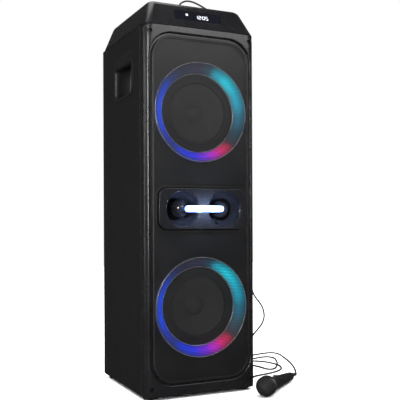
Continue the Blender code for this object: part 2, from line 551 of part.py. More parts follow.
cut(handle, switch_box("cut_mic_switch", 0.0560, 0.0760, 0.0040, 0.0130, 0.03, cutter=True))
switch_box("mic_switch", 0.0610, 0.0710, 0.0036, 0.0134, 0.0196, STEEL, bevel=0.0006)

px, py = PLUG_XY
z = PLATE_Z
turned("mic_plug", [(0.0, z + 0.0470), (0.0028, z + 0.0470), (0.0036, z + 0.0360), (0.0062, z + 0.0350), (0.0068, z + 0.0330), (0.0068, z + 0.0040), (0.0060, z + 0.0020), (0.0031, z + 0.0020),
                    (0.0031, z - 0.0250), (0.0012, z - 0.0280), (0.0, z - 0.0280)], (px, py, 0), UP, BLACK, closed=False, steps=20)

HEX = CORD_D / 2 + 0.0001     # height of the cord's centre on the floor
ROUTE = [
    # out of the plug, over the top and its rounded edge
    (px, py, PLATE_Z + 0.0474), (px, py, PLATE_Z + 0.0510), (0.0308, 0.0490, 1.0540), (0.0350, 0.0430, 1.0605), (0.0430, 0.0320, 1.0625),
    (0.0560, 0.0140, 1.0555), (0.0720, -0.0090, 1.0390), (0.0860, -0.0280, 1.0220), (0.0985, -0.0420, 1.0115), (0.1110, -0.0540, 1.0064),
    (0.1225, -0.0640, 1.0040), (0.1325, -0.0720, 0.9990), (0.1398, -0.0780, 0.9890), (0.1455, -0.0825, 0.9745), (0.1520, -0.0868, 0.9550),
    (0.1580, -0.0900, 0.9370),
    # down beside the cabinet, a bow near the floor
    (0.1610, -0.0922, 0.9120), (0.1610, -0.0935, 0.8700), (0.1610, -0.0940, 0.8000), (0.1606, -0.0955, 0.6500), (0.1612, -0.0955, 0.5000), (0.1640, -0.0950, 0.3800),
    (0.1700, -0.0940, 0.3050), (0.1780, -0.0930, 0.2620), (0.1903, -0.0915, 0.2360), (0.2040, -0.0900, 0.2220), (0.2170, -0.0880, 0.2035),
    (0.2235, -0.0850, 0.1785), (0.2185, -0.0830, 0.1620), (0.2070, -0.0810, 0.1470), (0.1910, -0.0780, 0.1300), (0.1785, -0.0755, 0.1060),
    (0.1730, -0.0725, 0.0760), (0.1740, -0.0690, 0.0460), (0.1810, -0.0610, 0.0200), (0.1950, -0.0480, 0.0060), (0.2110, -0.0350, HEX),
    # loose loops on the floor
    (0.2290, -0.0230, HEX), (0.2520, -0.0165, HEX), (0.2822, -0.0090, HEX), (0.3135, 0.0035, HEX), (0.3380, 0.0200, HEX), (0.3590, 0.0469, HEX),
    (0.3699, 0.0848, HEX), (0.3610, 0.1377, HEX), (0.3420, 0.1640, HEX), (0.3150, 0.1760, HEX), (0.2950, 0.1730, HEX), (0.2840, 0.1580, HEX),
    (0.2880, 0.1360, HEX), (0.2990, 0.1080, HEX), (0.3060, 0.0760, HEX), (0.3070, 0.0500, HEX), (0.3180, 0.0350, HEX), (0.3400, 0.0500, HEX),
    (0.3739, 0.0948, HEX), (0.4007, 0.1448, HEX), (0.4165, 0.1860, HEX), (0.4090, 0.2110, HEX), (0.3800, 0.2130, HEX), (0.3480, 0.2030, HEX),
    (0.3200, 0.2050, HEX), (0.3050, 0.2220, HEX), (0.3120, 0.2430, HEX), (0.3400, 0.2560, HEX), (0.3800, 0.2580, HEX), (0.4320, 0.2700, HEX),
    (0.4600, 0.2660, HEX), (0.4655, 0.2360, HEX), (0.4497, 0.1777, HEX), (0.4330, 0.1250, HEX), (0.4105, 0.0681, HEX), (0.3870, 0.0180, HEX),
    (0.3641, -0.0239, HEX), (0.3430, -0.0590, 0.0045),
]
tail = MIC_Q @ Vector((0, 0, mic_len + 0.0004))
ROUTE += [tuple(MIC_Q @ Vector((0, 0, mic_len + 0.0120))), tuple(tail)]


def hump(pts, d):
    """Lift the later strand where it passes over an earlier one."""
    lift = [0.0] * len(pts)
    s = [0.0]
    for i in range(1, len(pts)):
        s.append(s[-1] + (pts[i] - pts[i - 1]).length)
    for i in range(len(pts) - 1):
        if pts[i].z > 0.02:
            continue
        for j in range(i + 12, len(pts) - 1):
            if pts[j].z > 0.02:
                continue
            a, b, c, e = pts[i], pts[i + 1], pts[j], pts[j + 1]
            if (a - c).length > 0.03:
                continue
            r, q = b - a, e - c
            den = r.x * q.y - r.y * q.x
            if abs(den) < 1e-12:
                continue
            t = ((c.x - a.x) * q.y - (c.y - a.y) * q.x) / den
            u = ((c.x - a.x) * r.y - (c.y - a.y) * r.x) / den
            if 0 <= t < 1 and 0 <= u < 1:
                for k in range(len(pts)):
                    x = abs(s[k] - s[j]) / 0.045
                    if x < 1:
                        lift[k] = max(lift[k], (d + 0.0006) * 0.5 * (1 + math.cos(math.pi * x)) if x > 0.12 else d + 0.0006)
    return [p + Vector((0, 0, h)) for p, h in zip(pts, lift)]


def relax(pts, step=0.004, rounds=8, keep=5):
    """Evenly spaced points with their sharpest turns eased, the two ends left as they are."""
    s = [0.0]
    for a, b in zip(pts, pts[1:]):
        s.append(s[-1] + (b - a).length)
    n = int(s[-1] / step)
    out, j = [], 0
    for k in range(n + 1):
        t = s[-1] * k / n
        while j < len(s) - 2 and s[j + 1] < t:
            j += 1
        f = 0.0 if s[j + 1] == s[j] else (t - s[j]) / (s[j + 1] - s[j])
        out.append(pts[j].lerp(pts[j + 1], min(max(f, 0.0), 1.0)))
    for _ in range(rounds):
        new = list(out)
        for k in range(keep, n + 1 - keep):
            new[k] = out[k - 1] * 0.25 + out[k] * 0.5 + out[k + 1] * 0.25
        out = new
    return out


route = [Vector((p.x, p.y, max(p.z, HEX))) for p in relax(smooth_route(ROUTE))]
route = hump(route, CORD_D)
CORD_LENGTH = sum((b - a).length for a, b in zip(route, route[1:]))
# both ends leave their pieces straight, square to them
pts = [route[0]] + resample(route[1:-1], 77) + [route[-1]]
cu = bpy.data.curves.new("mic_cord", "CURVE")
cu.dimensions = "3D"
cu.bevel_depth = CORD_D / 2
cu.bevel_resolution = 2
cu.use_fill_caps = True
sp = cu.splines.new("POLY")
sp.points.add(len(pts) - 1)
for p, q in zip(sp.points, pts):
    p.co = (q.x, q.y, q.z, 1)
place(bpy.data.objects.new("mic_cord", cu), RUBBER)
print("cord length %.3f m" % CORD_LENGTH)
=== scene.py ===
"""Studio scene of the tower party speaker, built round its CAD frame. Metres, +Z up, front faces -Y."""
import math
import bpy
import bmesh
from mathutils import Matrix, Vector


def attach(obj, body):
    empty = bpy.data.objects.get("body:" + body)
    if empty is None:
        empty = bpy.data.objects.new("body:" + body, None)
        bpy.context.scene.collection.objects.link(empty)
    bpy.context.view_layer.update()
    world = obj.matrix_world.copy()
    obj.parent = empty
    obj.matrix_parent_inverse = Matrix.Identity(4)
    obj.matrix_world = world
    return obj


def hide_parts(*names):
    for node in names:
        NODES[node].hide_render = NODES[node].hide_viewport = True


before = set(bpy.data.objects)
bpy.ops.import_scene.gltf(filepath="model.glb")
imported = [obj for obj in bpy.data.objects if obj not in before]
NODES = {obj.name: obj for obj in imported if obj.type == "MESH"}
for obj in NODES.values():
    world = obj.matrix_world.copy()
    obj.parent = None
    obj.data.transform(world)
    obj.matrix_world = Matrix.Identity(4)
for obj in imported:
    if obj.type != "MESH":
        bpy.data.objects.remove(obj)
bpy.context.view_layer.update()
SCENE = bpy.context.scene

# ------------------------------------------------------------------ sizes shared with the CAD model
W, YF, YB = 0.310, -0.158, 0.176
ZB, ZS, ZT = 0.009, 0.931, 1.000
GAP = 0.0003
R_CORNER, R_TOP, SLOPE, SIDE_SLOPE, BEZEL_D = 0.020, 0.030, 0.037, 0.0245, 0.030
OPEN_X, OPEN_Z0, OPEN_Z1, OPEN_R = 0.141, 0.0345, 0.9125, 0.062
GRILLE_X, GRILLE_Z0, GRILLE_Z1, GRILLE_R = 0.1350, 0.0405, 0.9065, 0.056
RING_Z = {"upper": 0.720, "lower": 0.2255}
PANEL_Z, PANEL_X, PANEL_H, PANEL_R = 0.474, 0.121, 0.0517, 0.022
HORN_X, HORN_R = 0.0575, 0.0460
PLUG_XY = (0.030, 0.050)
PLATE_Z = 0.9960
MIC_HEAD = Vector((0.1396, -0.2335, 0.0266))
MIC_TAIL = Vector((0.3155, -0.0930, 0.0125))
CORD_D = 0.0048
FRONT, UP = (0, -1, 0), (0, 0, 1)

# ------------------------------------------------------------------ camera
cam_a, cam_p, cam_r = math.radians(-25.1177), math.radians(0.2159), math.radians(-0.2573)
fwd = Vector((-math.sin(cam_a) * math.cos(cam_p), math.cos(cam_a) * math.cos(cam_p), math.sin(cam_p)))
right = Vector((math.cos(cam_a), math.sin(cam_a), 0))
upv = right.cross(fwd)
r2 = math.cos(cam_r) * right + math.sin(cam_r) * upv
u2 = -math.sin(cam_r) * right + math.cos(cam_r) * upv
cam_data = bpy.data.cameras.new("camera")
cam_data.lens, cam_data.sensor_width, cam_data.shift_y = 63.213, 36.0, 0.05085
cam_data.clip_start, cam_data.clip_end = 0.01, 100
cam = bpy.data.objects.new("camera", cam_data)
cam.matrix_world = Matrix(((r2.x, u2.x, -fwd.x, -0.76045), (r2.y, u2.y, -fwd.y, -1.76778), (r2.z, u2.z, -fwd.z, 0.43848), (0, 0, 0, 1)))
SCENE.collection.objects.link(cam)
SCENE.camera = cam


# ------------------------------------------------------------------ materials
def nodes_of(name):
    m = bpy.data.materials.new(name)
    m.use_nodes = True
    nt = m.node_tree
    b = nt.nodes["Principled BSDF"]
    tc = nt.nodes.new("ShaderNodeTexCoord")
    return m, nt, b, tc


def noise(nt, tc, scale, detail=3.0, rough=0.5, squeeze=None):
    n = nt.nodes.new("ShaderNodeTexNoise")
    n.inputs["Scale"].default_value = scale
    n.inputs["Detail"].default_value = detail
    n.inputs["Roughness"].default_value = rough
    if squeeze:
        mp = nt.nodes.new("ShaderNodeMapping")
        mp.inputs["Scale"].default_value = squeeze
        nt.links.new(tc.outputs["Object"], mp.inputs["Vector"])
        nt.links.new(mp.outputs["Vector"], n.inputs["Vector"])
    else:
        nt.links.new(tc.outputs["Object"], n.inputs["Vector"])
    return n


def ramp(nt, src, lo, hi, p0=0.3, p1=0.7):
    r = nt.nodes.new("ShaderNodeMapRange")
    r.inputs["From Min"].default_value = p0
    r.inputs["From Max"].default_value = p1
    r.inputs["To Min"].default_value = lo
    r.inputs["To Max"].default_value = hi
    nt.links.new(src, r.inputs["Value"])
    return r.outputs["Result"]


def mix_rgb(nt, fac, a, b):
    x = nt.nodes.new("ShaderNodeMix")
    x.data_type = "RGBA"
    x.inputs["A"].default_value = (*a, 1)
    x.inputs["B"].default_value = (*b, 1)
    nt.links.new(fac, x.inputs["Factor"])
    return x.outputs["Result"]


def bump(nt, b, src, strength, distance, prev=None):
    bp = nt.nodes.new("ShaderNodeBump")
    bp.inputs["Strength"].default_value = strength
    bp.inputs["Distance"].default_value = distance
    nt.links.new(src, bp.inputs["Height"])
    if prev is not None:
        nt.links.new(prev, bp.inputs["Normal"])
    nt.links.new(bp.outputs["Normal"], b.inputs["Normal"])
    return bp.outputs["Normal"]


def plastic(name, rgb, rough, grain=1800.0, depth=0.00006, strength=0.35, spread=0.06, dust=0.25, specular=0.5, coat=0.0, metal=0.0):
    """Moulded plastic: fine spark-eroded grain, soft patches of wear in its gloss, a trace of dust in its colour."""
    m, nt, b, tc = nodes_of(name)
    b.inputs["Metallic"].default_value = metal
    b.inputs["Specular IOR Level"].default_value = specular
    b.inputs["Coat Weight"].default_value = coat
    b.inputs["Coat Roughness"].default_value = 0.08
    fine = noise(nt, tc, grain, 4.0, 0.6)
    soft = noise(nt, tc, 14.0, 3.0, 0.55)
    nt.links.new(ramp(nt, soft.outputs["Fac"], rough - spread, rough + spread), b.inputs["Roughness"])
    lift = tuple(min(1.0, c * (1 + dust) + 0.0012 * dust) for c in rgb)
    nt.links.new(mix_rgb(nt, ramp(nt, soft.outputs["Fac"], 0.0, 1.0), rgb, lift), b.inputs["Base Color"])
    bump(nt, b, fine.outputs["Fac"], strength, depth)
    return m


def foil(name, rgb, rough):
    """Smooth black foil pressed over board: faint long orange peel with a fine pore over it."""
    m, nt, b, tc = nodes_of(name)
    peel = noise(nt, tc, 120.0, 2.0, 0.4)
    pore = noise(nt, tc, 2400.0, 3.0, 0.6)
    soft = noise(nt, tc, 6.0, 3.0, 0.5)
    nt.links.new(ramp(nt, soft.outputs["Fac"], rough - 0.05, rough + 0.06), b.inputs["Roughness"])
    nt.links.new(mix_rgb(nt, ramp(nt, soft.outputs["Fac"], 0.0, 1.0), rgb, tuple(c * 1.25 for c in rgb)), b.inputs["Base Color"])
    n1 = bump(nt, b, peel.outputs["Fac"], 0.12, 0.0003)
    bump(nt, b, pore.outputs["Fac"], 0.25, 0.00004, n1)
    return m


def brushed(name, rgb, rough, squeeze=(1, 1, 60), metal=1.0):
    m, nt, b, tc = nodes_of(name)
    b.inputs["Metallic"].default_value = metal
    n = noise(nt, tc, 90.0, 4.0, 0.6, squeeze)
    nt.links.new(ramp(nt, n.outputs["Fac"], rough - 0.08, rough + 0.1), b.inputs["Roughness"])
    nt.links.new(mix_rgb(nt, ramp(nt, n.outputs["Fac"], 0.0, 1.0), rgb, tuple(c * 0.8 for c in rgb)), b.inputs["Base Color"])
    bump(nt, b, n.outputs["Fac"], 0.15, 0.00005)
    return m


def fibre(name, a, c, rough, scale=900.0):
    """Pressed paper or fibreboard: short fibres in colour and relief."""
    m, nt, b, tc = nodes_of(name)
    n = noise(nt, tc, scale, 6.0, 0.7, (1.0, 1.0, 0.35))
    n2 = noise(nt, tc, scale * 0.2, 3.0, 0.5)
    nt.links.new(mix_rgb(nt, ramp(nt, n.outputs["Fac"], 0.0, 1.0, 0.35, 0.65), a, c), b.inputs["Base Color"])
    nt.links.new(ramp(nt, n2.outputs["Fac"], rough - 0.06, rough + 0.05), b.inputs["Roughness"])
    bump(nt, b, n.outputs["Fac"], 0.5, 0.00015)
    return m


def emitter(name, rgb, strength, base=(0.5, 0.5, 0.52), attribute=None, rough=0.35):
    """Frosted diffuser that gives light, a little uneven as real ones are."""
    m, nt, b, tc = nodes_of(name)
    b.inputs["Base Color"].default_value = (*base, 1)
    n = noise(nt, tc, 260.0, 3.0, 0.5)
    nt.links.new(ramp(nt, n.outputs["Fac"], rough - 0.05, rough + 0.07), b.inputs["Roughness"])
    bump(nt, b, n.outputs["Fac"], 0.2, 0.0001)
    b.inputs["Emission Strength"].default_value = strength
    if attribute:
        at = nt.nodes.new("ShaderNodeAttribute")
        at.attribute_name = attribute
        nt.links.new(at.outputs["Color"], b.inputs["Emission Color"])
    else:
        nt.links.new(mix_rgb(nt, ramp(nt, n.outputs["Fac"], 0.0, 1.0), rgb, tuple(c * 0.9 for c in rgb)), b.inputs["Emission Color"])
    return m


M_MOULD = plastic("satin_black_moulding", (0.0045, 0.0045, 0.0050), 0.36, grain=2200.0, depth=0.00005, strength=0.3)
M_BEZEL = plastic("satin_black_bezel", (0.0042, 0.0042, 0.0047), 0.27, grain=2600.0, depth=0.00003, strength=0.2, spread=0.04)
M_PLATE = plastic("fine_textured_plate", (0.006, 0.006, 0.0065), 0.46, grain=1500.0, depth=0.0001, strength=0.5)
M_FOIL = foil("black_foil", (0.0040, 0.0040, 0.0045), 0.38)
M_GLOSS = plastic("gloss_black", (0.0045, 0.0045, 0.0055), 0.12, grain=400.0, depth=0.00002, strength=0.06, spread=0.04, dust=0.4, coat=0.4)
M_WINDOW = plastic("display_window_gloss", (0.0025, 0.0025, 0.0045), 0.07, grain=60.0, depth=0.00004, strength=0.04, spread=0.02, dust=0.3, coat=0.8)
M_GRILLE = plastic("powder_coated_steel", (0.0042, 0.0042, 0.0048), 0.44, grain=3000.0, depth=0.00005, strength=0.4)
M_BLACKSTEEL = plastic("black_oxide_steel", (0.02, 0.02, 0.021), 0.38, grain=1200.0, depth=0.00005, strength=0.3, metal=0.7)
M_ZINC = brushed("zinc_plated_steel", (0.42, 0.42, 0.44), 0.36)
M_NICKEL = brushed("nickel_plate", (0.58, 0.57, 0.55), 0.2, (1, 1, 8))
M_RUBBER = plastic("matt_rubber", (0.011, 0.011, 0.011), 0.74, grain=900.0, depth=0.00015, strength=0.5, specular=0.3)
M_BUTTON = plastic("soft_rubber_button", (0.019, 0.019, 0.021), 0.62, grain=1600.0, depth=0.0001, strength=0.4, specular=0.35)
M_CONE = fibre("pressed_paper_cone", (0.012, 0.012, 0.012), (0.034, 0.033, 0.031), 0.82)
M_BOARD = fibre("fibreboard", (0.025, 0.023, 0.021), (0.045, 0.040, 0.035), 0.85, 500.0)
M_PCB = plastic("circuit_board_green", (0.012, 0.075, 0.032), 0.3, grain=700.0, depth=0.00005, strength=0.2, coat=0.3)
M_KNOB = plastic("knob_satin_black", (0.013, 0.013, 0.014), 0.34, grain=2400.0, depth=0.00004, strength=0.25)
M_CORD = plastic("cord_jacket", (0.011, 0.011, 0.012), 0.5, grain=700.0, depth=0.0001, strength=0.3, specular=0.4)
M_PRINT = plastic("pale_print", (0.62, 0.62, 0.63), 0.55, grain=1500.0, depth=0.00002, strength=0.1)
M_MESH = plastic("mesh_wire_black", (0.035, 0.035, 0.037), 0.32, grain=1500.0, depth=0.00003, strength=0.2, metal=0.75)
M_FOAM = fibre("foam_black", (0.006, 0.006, 0.006), (0.014, 0.014, 0.014), 0.95, 600.0)
M_TRIM = plastic("silver_lacquer_trim", (0.34, 0.345, 0.36), 0.33, grain=1500.0, depth=0.00003, strength=0.15, metal=0.6)
M_RING = emitter("ring_diffuser", (0, 0, 0), 1.15, base=(0.020, 0.020, 0.024), attribute="glow")
M_BARGLOW = emitter("bar_diffuser", (0.62, 0.80, 1.0), 1.9)
# the light bar's housing glows blue as well: a painted halo in place of the bloom round the lit bar, not a lamp of its
# own
M_BAR_HALO_GLOW = emitter("bar_housing_painted_halo", (0.14, 0.32, 1.0), 3.6, base=(0.05, 0.06, 0.12))
M_DIGIT = emitter("display_segments", (0.72, 0.84, 1.0), 0.8)
M_DOT = emitter("indicator", (0.45, 0.47, 0.50), 0.04)
M_BRASS = brushed("contact_metal", (0.62, 0.56, 0.42), 0.28, (1, 1, 10))


# ------------------------------------------------------------------ geometry helpers
def add(name, me, mat, body="cabinet", smooth=35, nodes=()):
    obj = bpy.data.objects.new(name, me)
    SCENE.collection.objects.link(obj)
    if mat is not None:
        me.materials.append(mat)
    if smooth:
        me.shade_smooth()
        me.set_sharp_from_angle(angle=math.radians(smooth))
    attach(obj, body)
    if nodes:
        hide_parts(*nodes)
    return obj


def mesh_of(name, verts, faces):
    me = bpy.data.meshes.new(name)
    me.from_pydata([tuple(v) for v in verts], [], faces)
    me.validate()
    me.update()
    return me


def fix_normals(me, weld=1e-6):
    bm = bmesh.new()
    bm.from_mesh(me)
    bmesh.ops.remove_doubles(bm, verts=bm.verts, dist=weld)
    bmesh.ops.recalc_face_normals(bm, faces=bm.faces)
    bm.to_mesh(me)
    bm.free()
    me.update()
    return me


def fillet(profile, r, seg=4, closed=False):
    """Rounds the corners of a (radius, height) polyline; r is one number or one per point."""
    n = len(profile)
    out = []
    for i, p in enumerate(profile):
        ri = r[i] if isinstance(r, (list, tuple)) else r
        if (not closed and i in (0, n - 1)) or ri <= 0:
            out.append(tuple(p))
            continue
        p = Vector(p)
        a, b = Vector(profile[i - 1]), Vector(profile[(i + 1) % n])
        da, db = a - p, b - p
        la, lb = da.length, db.length
        if la < 1e-9 or lb < 1e-9:
            out.append(tuple(p))
            continue
        da, db = da / la, db / lb
        ang = da.angle(db)
        if ang > math.pi - 0.02:
            out.append(tuple(p))
            continue
        t = min(ri / math.tan(ang / 2), la * 0.45, lb * 0.45)
        p0, p1 = p + da * t, p + db * t
        for k in range(seg + 1):
            s = k / seg
            q = p0 * (1 - s) ** 2 + p * 2 * s * (1 - s) + p1 * s ** 2
            out.append(tuple(q))
    return out


def turned_mesh(name, profile, centre=(0, 0, 0), axis=UP, closed=False, steps=96):
    rot = Vector(axis).to_track_quat("Z", "Y").to_matrix()
    c = Vector(centre)
    verts, faces = [], []
    n = len(profile)
    for i in range(steps):
        a = 2 * math.pi * i / steps
        ca, sa = math.cos(a), math.sin(a)
        for r, h in profile:
            verts.append(c + rot @ Vector((r * ca, r * sa, h)))
    m = n if closed else n - 1
    for i in range(steps):
        j = (i + 1) % steps
        for k in range(m):
            l = (k + 1) % n
            faces.append((i * n + k, j * n + k, j * n + l, i * n + l))
    me = mesh_of(name, verts, faces)
    return fix_normals(me)


def turned(name, profile, centre, axis, mat, body="cabinet", closed=False, steps=96, nodes=(), smooth=40):
    return add(name, turned_mesh(name, profile, centre, axis, closed, steps), mat, body, smooth, nodes)


def from_front(profile):
    return [(r, -d) for r, d in profile]


def rounded_rect(cx, cy, hx, hy, r, seg=12):
    pts = []
    for sx, sy, a0 in ((1, 1, 0), (-1, 1, 90), (-1, -1, 180), (1, -1, 270)):
        for i in range(seg + 1):
            a = math.radians(a0 + 90 * i / seg)
            pts.append((cx + sx * (hx - r) + r * math.cos(a), cy + sy * (hy - r) + r * math.sin(a)))
    return pts


def circle(cx, cy, r, n=72):
    return [(cx + r * math.cos(2 * math.pi * i / n), cy + r * math.sin(2 * math.pi * i / n)) for i in range(n)]


def plane_matrix(plane, mid):
    if plane == "XZ":
        return Matrix(((1, 0, 0, 0), (0, 0, -1, mid), (0, 1, 0, 0), (0, 0, 0, 1)))
    if plane == "YZ":
        return Matrix(((0, 0, 1, mid), (1, 0, 0, 0), (0, 1, 0, 0), (0, 0, 0, 1)))
    return Matrix.Translation((0, 0, mid))


def flat_mesh(name, outlines, lo, hi, plane="XZ", edge=0.0, matrix=None, res=3):
    """Flat outline with holes, thick from lo to hi, its edges rounded by edge."""
    cu = bpy.data.curves.new(name, "CURVE")
    cu.dimensions = "2D"
    cu.fill_mode = "BOTH"
    cu.extrude = max((hi - lo) / 2 - edge, 0.0)
    if edge:
        cu.bevel_depth = edge
        cu.bevel_resolution = res
        cu.offset = -edge
    for loop in outlines:
        sp = cu.splines.new("POLY")
        sp.points.add(len(loop) - 1)
        for p, (u, v) in zip(sp.points, loop):
            p.co = (u, v, 0, 1)
        sp.use_cyclic_u = True
    tmp = bpy.data.objects.new(name + "_outline", cu)
    SCENE.collection.objects.link(tmp)
    dg = bpy.context.evaluated_depsgraph_get()
    me = bpy.data.meshes.new_from_object(tmp.evaluated_get(dg))
    mid = (lo + hi) / 2
    me.transform(matrix @ Matrix.Translation((0, 0, mid)) if matrix else plane_matrix(plane, mid))
    me.materials.clear()
    me.name = name
    bpy.data.objects.remove(tmp, do_unlink=True)
    return fix_normals(me, 1e-6)


def flat(name, outlines, lo, hi, plane, mat, body="cabinet", edge=0.0, nodes=(), matrix=None, smooth=35, res=3):
    return add(name, flat_mesh(name, outlines, lo, hi, plane, edge, matrix, res), mat, body, smooth, nodes)


def box_mesh(name, x, y, z, edge=0.0, seg=3, matrix=None):
    bm = bmesh.new()
    bmesh.ops.create_cube(bm, size=1.0)
    for v in bm.verts:
        v.co = Vector((x[1] if v.co.x > 0 else x[0], y[1] if v.co.y > 0 else y[0], z[1] if v.co.z > 0 else z[0]))
    if edge:
        bmesh.ops.bevel(bm, geom=bm.edges[:], offset=edge, segments=seg, profile=0.5, affect="EDGES", clamp_overlap=True)
    me = bpy.data.meshes.new(name)
    bm.to_mesh(me)
    bm.free()
    if matrix:
        me.transform(matrix)
    return me


def sweep_mesh(name, loop, normals, profile, to_world, closed_profile=False):
    """Profile of (offset outwards, height) carried round a closed loop."""
    verts, faces = [], []
    n, k = len(loop), len(profile)
    for (u, v), (nu, nv) in zip(loop, normals):
        for o, h in profile:
            verts.append(to_world(u + nu * o, v + nv * o, h))
    m = k if closed_profile else k - 1
    for i in range(n):
        j = (i + 1) % n
        for a in range(m):
            b = (a + 1) % k
            faces.append((i * k + a, j * k + a, j * k + b, i * k + b))
    return fix_normals(mesh_of(name, verts, faces))


def rr_loop(cx, cy, hx, hy, r, seg=14, straight=1):
    """Rounded rectangle as points and their outward normals."""
    pts, nor = [], []
    for sx, sy, a0 in ((1, 1, 0), (-1, 1, 90), (-1, -1, 180), (1, -1, 270)):
        for i in range(seg + 1):
            a = math.radians(a0 + 90 * i / seg)
            pts.append((cx + sx * (hx - r) + r * math.cos(a), cy + sy * (hy - r) + r * math.sin(a)))
            nor.append((math.cos(a), math.sin(a)))
    if straight > 1:
        p2, n2 = [], []
        for i in range(len(pts)):
            j = (i + 1) % len(pts)
            p2.append(pts[i]); n2.append(nor[i])
            if (i + 1) % (seg + 1) == 0:
                for k in range(1, straight):
                    t = k / straight
                    p2.append((pts[i][0] * (1 - t) + pts[j][0] * t, pts[i][1] * (1 - t) + pts[j][1] * t))
                    n2.append(nor[i])
        return p2, n2
    return pts, nor


def join_mesh(name, *meshes):
    bm = bmesh.new()
    for me in meshes:
        bm.from_mesh(me)
    out = bpy.data.meshes.new(name)
    bm.to_mesh(out)
    bm.free()
    return out


def cutter(name, me):
    o = bpy.data.objects.new(name, me)
    SCENE.collection.objects.link(o)
    return o


def boolean(me, cutters, op="DIFFERENCE"):
    """Mesh with the cutter meshes taken away, worked out at once."""
    o = cutter("work", me)
    cs = [cutter("cut_%d" % i, c) for i, c in enumerate(cutters)]
    for c in cs:
        md = o.modifiers.new("cut", "BOOLEAN")
        md.operation, md.solver, md.object = op, "EXACT", c
    bpy.context.view_layer.update()
    dg = bpy.context.evaluated_depsgraph_get()
    out = bpy.data.meshes.new_from_object(o.evaluated_get(dg))
    for c in [o] + cs:
        bpy.data.objects.remove(c, do_unlink=True)
    out.materials.clear()
    return out


# ------------------------------------------------------------------ cord, before the rest
mic_axis = (MIC_TAIL - MIC_HEAD).normalized()
mic_len = (MIC_TAIL - MIC_HEAD).length
MIC_Q = Matrix.Translation(MIC_HEAD) @ mic_axis.to_track_quat("Z", "Y").to_matrix().to_4x4()
HEX = CORD_D / 2 + 0.0001     # height of the cord's centre on the floor
ROUTE = [
    # out of the plug, over the top and its rounded edge
    (PLUG_XY[0], PLUG_XY[1], PLATE_Z + 0.0474), (PLUG_XY[0], PLUG_XY[1], PLATE_Z + 0.0510), (0.0308, 0.0490, 1.0540), (0.0350, 0.0430, 1.0605), (0.0430, 0.0320, 1.0625),
    (0.0560, 0.0140, 1.0555), (0.0720, -0.0090, 1.0390), (0.0860, -0.0280, 1.0220), (0.0985, -0.0420, 1.0115), (0.1110, -0.0540, 1.0064),
    (0.1225, -0.0640, 1.0040), (0.1325, -0.0720, 0.9990), (0.1398, -0.0780, 0.9890), (0.1455, -0.0825, 0.9745), (0.1520, -0.0868, 0.9550),
    (0.1580, -0.0900, 0.9370),
    # down beside the cabinet, a bow near the floor
    (0.1610, -0.0922, 0.9120), (0.1610, -0.0935, 0.8700), (0.1610, -0.0940, 0.8000), (0.1606, -0.0955, 0.6500), (0.1612, -0.0955, 0.5000), (0.1640, -0.0950, 0.3800),
    (0.1700, -0.0940, 0.3050), (0.1780, -0.0930, 0.2620), (0.1903, -0.0915, 0.2360), (0.2040, -0.0900, 0.2220), (0.2170, -0.0880, 0.2035),
    (0.2235, -0.0850, 0.1785), (0.2185, -0.0830, 0.1620), (0.2070, -0.0810, 0.1470), (0.1910, -0.0780, 0.1300), (0.1785, -0.0755, 0.1060),
    (0.1730, -0.0725, 0.0760), (0.1740, -0.0690, 0.0460), (0.1810, -0.0610, 0.0200), (0.1950, -0.0480, 0.0060), (0.2110, -0.0350, HEX),
    # loose loops on the floor
    (0.2290, -0.0230, HEX), (0.2520, -0.0165, HEX), (0.2822, -0.0090, HEX), (0.3135, 0.0035, HEX), (0.3380, 0.0200, HEX), (0.3590, 0.0469, HEX),
    (0.3699, 0.0848, HEX), (0.3610, 0.1377, HEX), (0.3420, 0.1640, HEX), (0.3150, 0.1760, HEX), (0.2950, 0.1730, HEX), (0.2840, 0.1580, HEX),
    (0.2880, 0.1360, HEX), (0.2990, 0.1080, HEX), (0.3060, 0.0760, HEX), (0.3070, 0.0500, HEX), (0.3180, 0.0350, HEX), (0.3400, 0.0500, HEX),
    (0.3739, 0.0948, HEX), (0.4007, 0.1448, HEX), (0.4165, 0.1860, HEX), (0.4090, 0.2110, HEX), (0.3800, 0.2130, HEX), (0.3480, 0.2030, HEX),
    (0.3200, 0.2050, HEX), (0.3050, 0.2220, HEX), (0.3120, 0.2430, HEX), (0.3400, 0.2560, HEX), (0.3800, 0.2580, HEX), (0.4320, 0.2700, HEX),
    (0.4600, 0.2660, HEX), (0.4655, 0.2360, HEX), (0.4497, 0.1777, HEX), (0.4330, 0.1250, HEX), (0.4105, 0.0681, HEX), (0.3870, 0.0180, HEX),
    (0.3641, -0.0239, HEX), (0.3430, -0.0590, 0.0045),
]
tail = MIC_Q @ Vector((0, 0, mic_len + 0.0004))
ROUTE += [tuple(MIC_Q @ Vector((0, 0, mic_len + 0.0120))), tuple(tail)]


def smooth_route(points, per=16):
    """Centripetal Catmull-Rom curve through the route's own points."""
    p = [Vector(q) for q in points]
    p = [p[0] * 2 - p[1]] + p + [p[-1] * 2 - p[-2]]
    out = []
    for i in range(1, len(p) - 2):
        a, b, c, d = p[i - 1:i + 3]
        t0 = 0.0
        t1 = t0 + max((b - a).length, 1e-6) ** 0.5
        t2 = t1 + max((c - b).length, 1e-6) ** 0.5
        t3 = t2 + max((d - c).length, 1e-6) ** 0.5
        for k in range(per):
            t = t1 + (t2 - t1) * k / per
            a1 = a * ((t1 - t) / (t1 - t0)) + b * ((t - t0) / (t1 - t0))
            a2 = b * ((t2 - t) / (t2 - t1)) + c * ((t - t1) / (t2 - t1))
            a3 = c * ((t3 - t) / (t3 - t2)) + d * ((t - t2) / (t3 - t2))
            b1 = a1 * ((t2 - t) / (t2 - t0)) + a2 * ((t - t0) / (t2 - t0))
            b2 = a2 * ((t3 - t) / (t3 - t1)) + a3 * ((t - t1) / (t3 - t1))
            out.append(b1 * ((t2 - t) / (t2 - t1)) + b2 * ((t - t1) / (t2 - t1)))
    out.append(p[-2])
    return out


